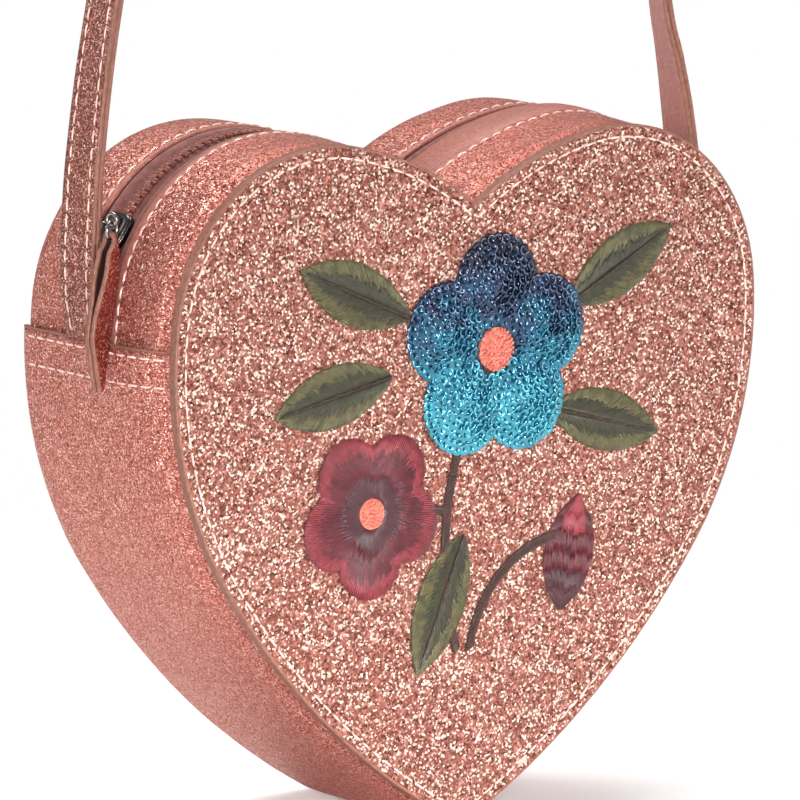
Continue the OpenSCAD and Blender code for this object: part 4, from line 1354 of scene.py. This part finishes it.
def knot(centre, radius, base_h, r, a):
    """One tangled thread, higher towards the blossom's middle."""
    x = centre[0] + r * math.cos(a) + rng.uniform(-0.1, 0.1)
    z = centre[1] + r * math.sin(a) + rng.uniform(-0.1, 0.1)
    h = base_h + KNOT_CROWN * (1 - (r / radius) ** 2) + rng.uniform(-0.05, 0.08)
    turns = [rng.uniform(0, 6.28) + 1.15 * k for k in range(KNOT_TURNS)]
    path = [on_face(x + KNOT_LOOP_R * math.cos(t), z + KNOT_LOOP_R * math.sin(t), h + 0.045 * k)
            for k, t in enumerate(turns)]
    return tubes([path], KNOT_THREAD_R * MM, FRONTWARDS)


knots = [knot(centre, radius, low, *spot) for _, centre, radius, low in KNOTS for spot in knot_spots(radius)]
make_object("blossom_knot_threads", merge(knots), [knot_thread], "blossom_knots")
for name, centre, radius, low in KNOTS:
    ring = [polar(centre, radius - 0.4, 12 * k) for k in range(30)]
    pad(name, ring, centre, low, KNOT_CROWN, knot_thread, "blossom_knots")
print("knots:", len(knots))

# %% Finishes of the CAD pieces that stay
INSIDE = {
    "front_stiffener": board, "back_stiffener": board, "side_seam_backing": fine_glitter,
    "zip_end_tabs": zip_tape, "zip_end_stops": bright_metal, "front_lining": lining_cloth,
    "back_lining": lining_cloth, "lower_gusset_lining": lining_cloth, "zip_facing_front": lining_cloth,
    "zip_facing_rear": lining_cloth,
}
for name, finish in INSIDE.items():
    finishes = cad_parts[name].data.materials
    if not len(finishes):
        finishes.append(finish)
    for k in range(len(finishes)):
        finishes[k] = finish
print("CAD pieces kept:", len(INSIDE))

# %% [markdown]
# The camera repeats the photograph's view: its place, roll and lens were fitted to the bag's outline there.

# %% Camera
AZIMUTH, ELEVATION, ROLL = -39.05375, 8.78348, 1.31917
DISTANCE, TARGET, LENS_MM = 1.85403, (0.005951, 0.0045, -0.526281), 341.91

a, e, r = (math.radians(v) for v in (AZIMUTH, ELEVATION, ROLL))
back = Vector((math.sin(a) * math.cos(e), -math.cos(a) * math.cos(e), math.sin(e)))
right = (-back).cross(Vector((0, 0, 1))).normalized()
up = right.cross(-back)
x_axis = right * math.cos(r) + up * math.sin(r)
y_axis = up * math.cos(r) - right * math.sin(r)
camera = bpy.data.objects.new("camera", bpy.data.cameras.new("camera"))
bpy.context.scene.collection.objects.link(camera)
turn = Matrix((x_axis, y_axis, back)).transposed()
camera.matrix_world = Matrix.Translation(Vector(TARGET) + back * DISTANCE) @ turn.to_4x4()
camera.data.sensor_width = 36
camera.data.lens = LENS_MM
camera.data.clip_end = 20
bpy.context.scene.camera = camera
print("lens in mm:", LENS_MM)

# %% [markdown]
# Soft lights stand round the bag, and the nearest from the front left wakes the glitter. A narrow one low in
# front stands for the light that the table throws back. The floor is white and keeps the bag's own shadow.

# %% Floor, background and lights
FLOOR_HALF, FLOOR_CELLS, FLOOR_GAP = 1.6, 24, 0.0002
SHADOW_END, WHITE_FROM, FLOOR_GLOW, SKY = 0.24, 0.44, 0.22, 0.32
WHITE = (1, 1, 1, 1)


def floor_sheet(finish):
    grid = np.linspace(-FLOOR_HALF, FLOOR_HALF, FLOOR_CELLS + 1)
    mesh = bpy.data.meshes.new("floor")
    mesh.from_pydata([(x, y, cad_box[0][2] - FLOOR_GAP) for x in grid for y in grid], [],
                     grid_faces(len(grid), len(grid)))
    mesh.materials.append(finish)
    obj = bpy.data.objects.new("floor", mesh)
    bpy.context.scene.collection.objects.link(obj)


def own_for_camera(tree, others, seen):
    """Gives the camera's own rays one shader, and all other rays another."""
    ray = add_node(tree, "ShaderNodeLightPath").outputs["Is Camera Ray"]
    mix = add_node(tree, "ShaderNodeMixShader", {0: ray, 1: others.outputs[0], 2: seen.outputs[0]})
    out = [n for n in tree.nodes if n.type.startswith("OUTPUT")][0]
    tree.links.new(mix.outputs[0], out.inputs[0])


def floor_finish():
    """Matt white that takes the shadow near the bag; to the camera it turns to plain white further out."""
    mat, tree, shader = new_finish("studio_floor", base_color=(0.9, 0.9, 0.9, 1), roughness=0.9)
    glow = add_node(tree, "ShaderNodeEmission", {"Color": WHITE, "Strength": FLOOR_GLOW})
    plain = add_node(tree, "ShaderNodeEmission", {"Color": WHITE, "Strength": 1.0})
    lit = add_node(tree, "ShaderNodeAddShader", {0: shader.outputs[0], 1: glow.outputs[0]})
    reach = {0: maths(tree, "MULTIPLY", own_position(tree), (1, 1, 0))}
    length = add_node(tree, "ShaderNodeVectorMath", reach, operation="LENGTH").outputs["Value"]
    limits = {1: SHADOW_END, 2: WHITE_FROM, 3: 0.0, 4: 1.0}
    fade = add_node(tree, "ShaderNodeMapRange", {0: length, **limits}).outputs[0]
    near = add_node(tree, "ShaderNodeMixShader", {0: fade, 1: lit.outputs[0], 2: plain.outputs[0]})
    own_for_camera(tree, shader, near)
    return mat


MIDDLE, FOOT = (0.0, 0.0, -0.52), (0.0, 0.0, -0.63)
LIGHTS = (
    ("key_front_left", (-1.15, -1.3, -0.3), MIDDLE, 0.4, 17, 180),
    ("fill_front_right", (1.2, -1.1, -0.3), MIDDLE, 0.5, 7, 180),
    ("top_soft", (0.1, 0.25, 0.9), MIDDLE, 1.3, 24, 180),
    ("rim_back_left", (-0.9, 0.9, 0.0), MIDDLE, 0.6, 3, 180),
    ("table_bounce", (-0.25, -1.1, -0.56), FOOT, 0.2, 0.36, 24),
)
floor_sheet(floor_finish())
for name, position, target, size, watts, spread in LIGHTS:
    data = bpy.data.lights.new(name, "AREA")
    data.shape = "DISK"
    data.size = size
    data.energy = watts
    data.spread = math.radians(spread)
    lamp = bpy.data.objects.new(name, data)
    lamp.location = position
    lamp.rotation_euler = (Vector(target) - Vector(position)).to_track_quat("-Z", "Y").to_euler()
    bpy.context.scene.collection.objects.link(lamp)
world = bpy.data.worlds.new("studio")
bpy.context.scene.world = world
world.use_nodes = True
light_sky = world.node_tree.nodes["Background"]
light_sky.inputs[0].default_value = WHITE
light_sky.inputs[1].default_value = SKY
seen_sky = add_node(world.node_tree, "ShaderNodeBackground", {"Color": WHITE, "Strength": 1.0})
own_for_camera(world.node_tree, light_sky, seen_sky)
bpy.context.scene.view_settings.view_transform = "Standard"
print("lights:", len(bpy.data.lights))
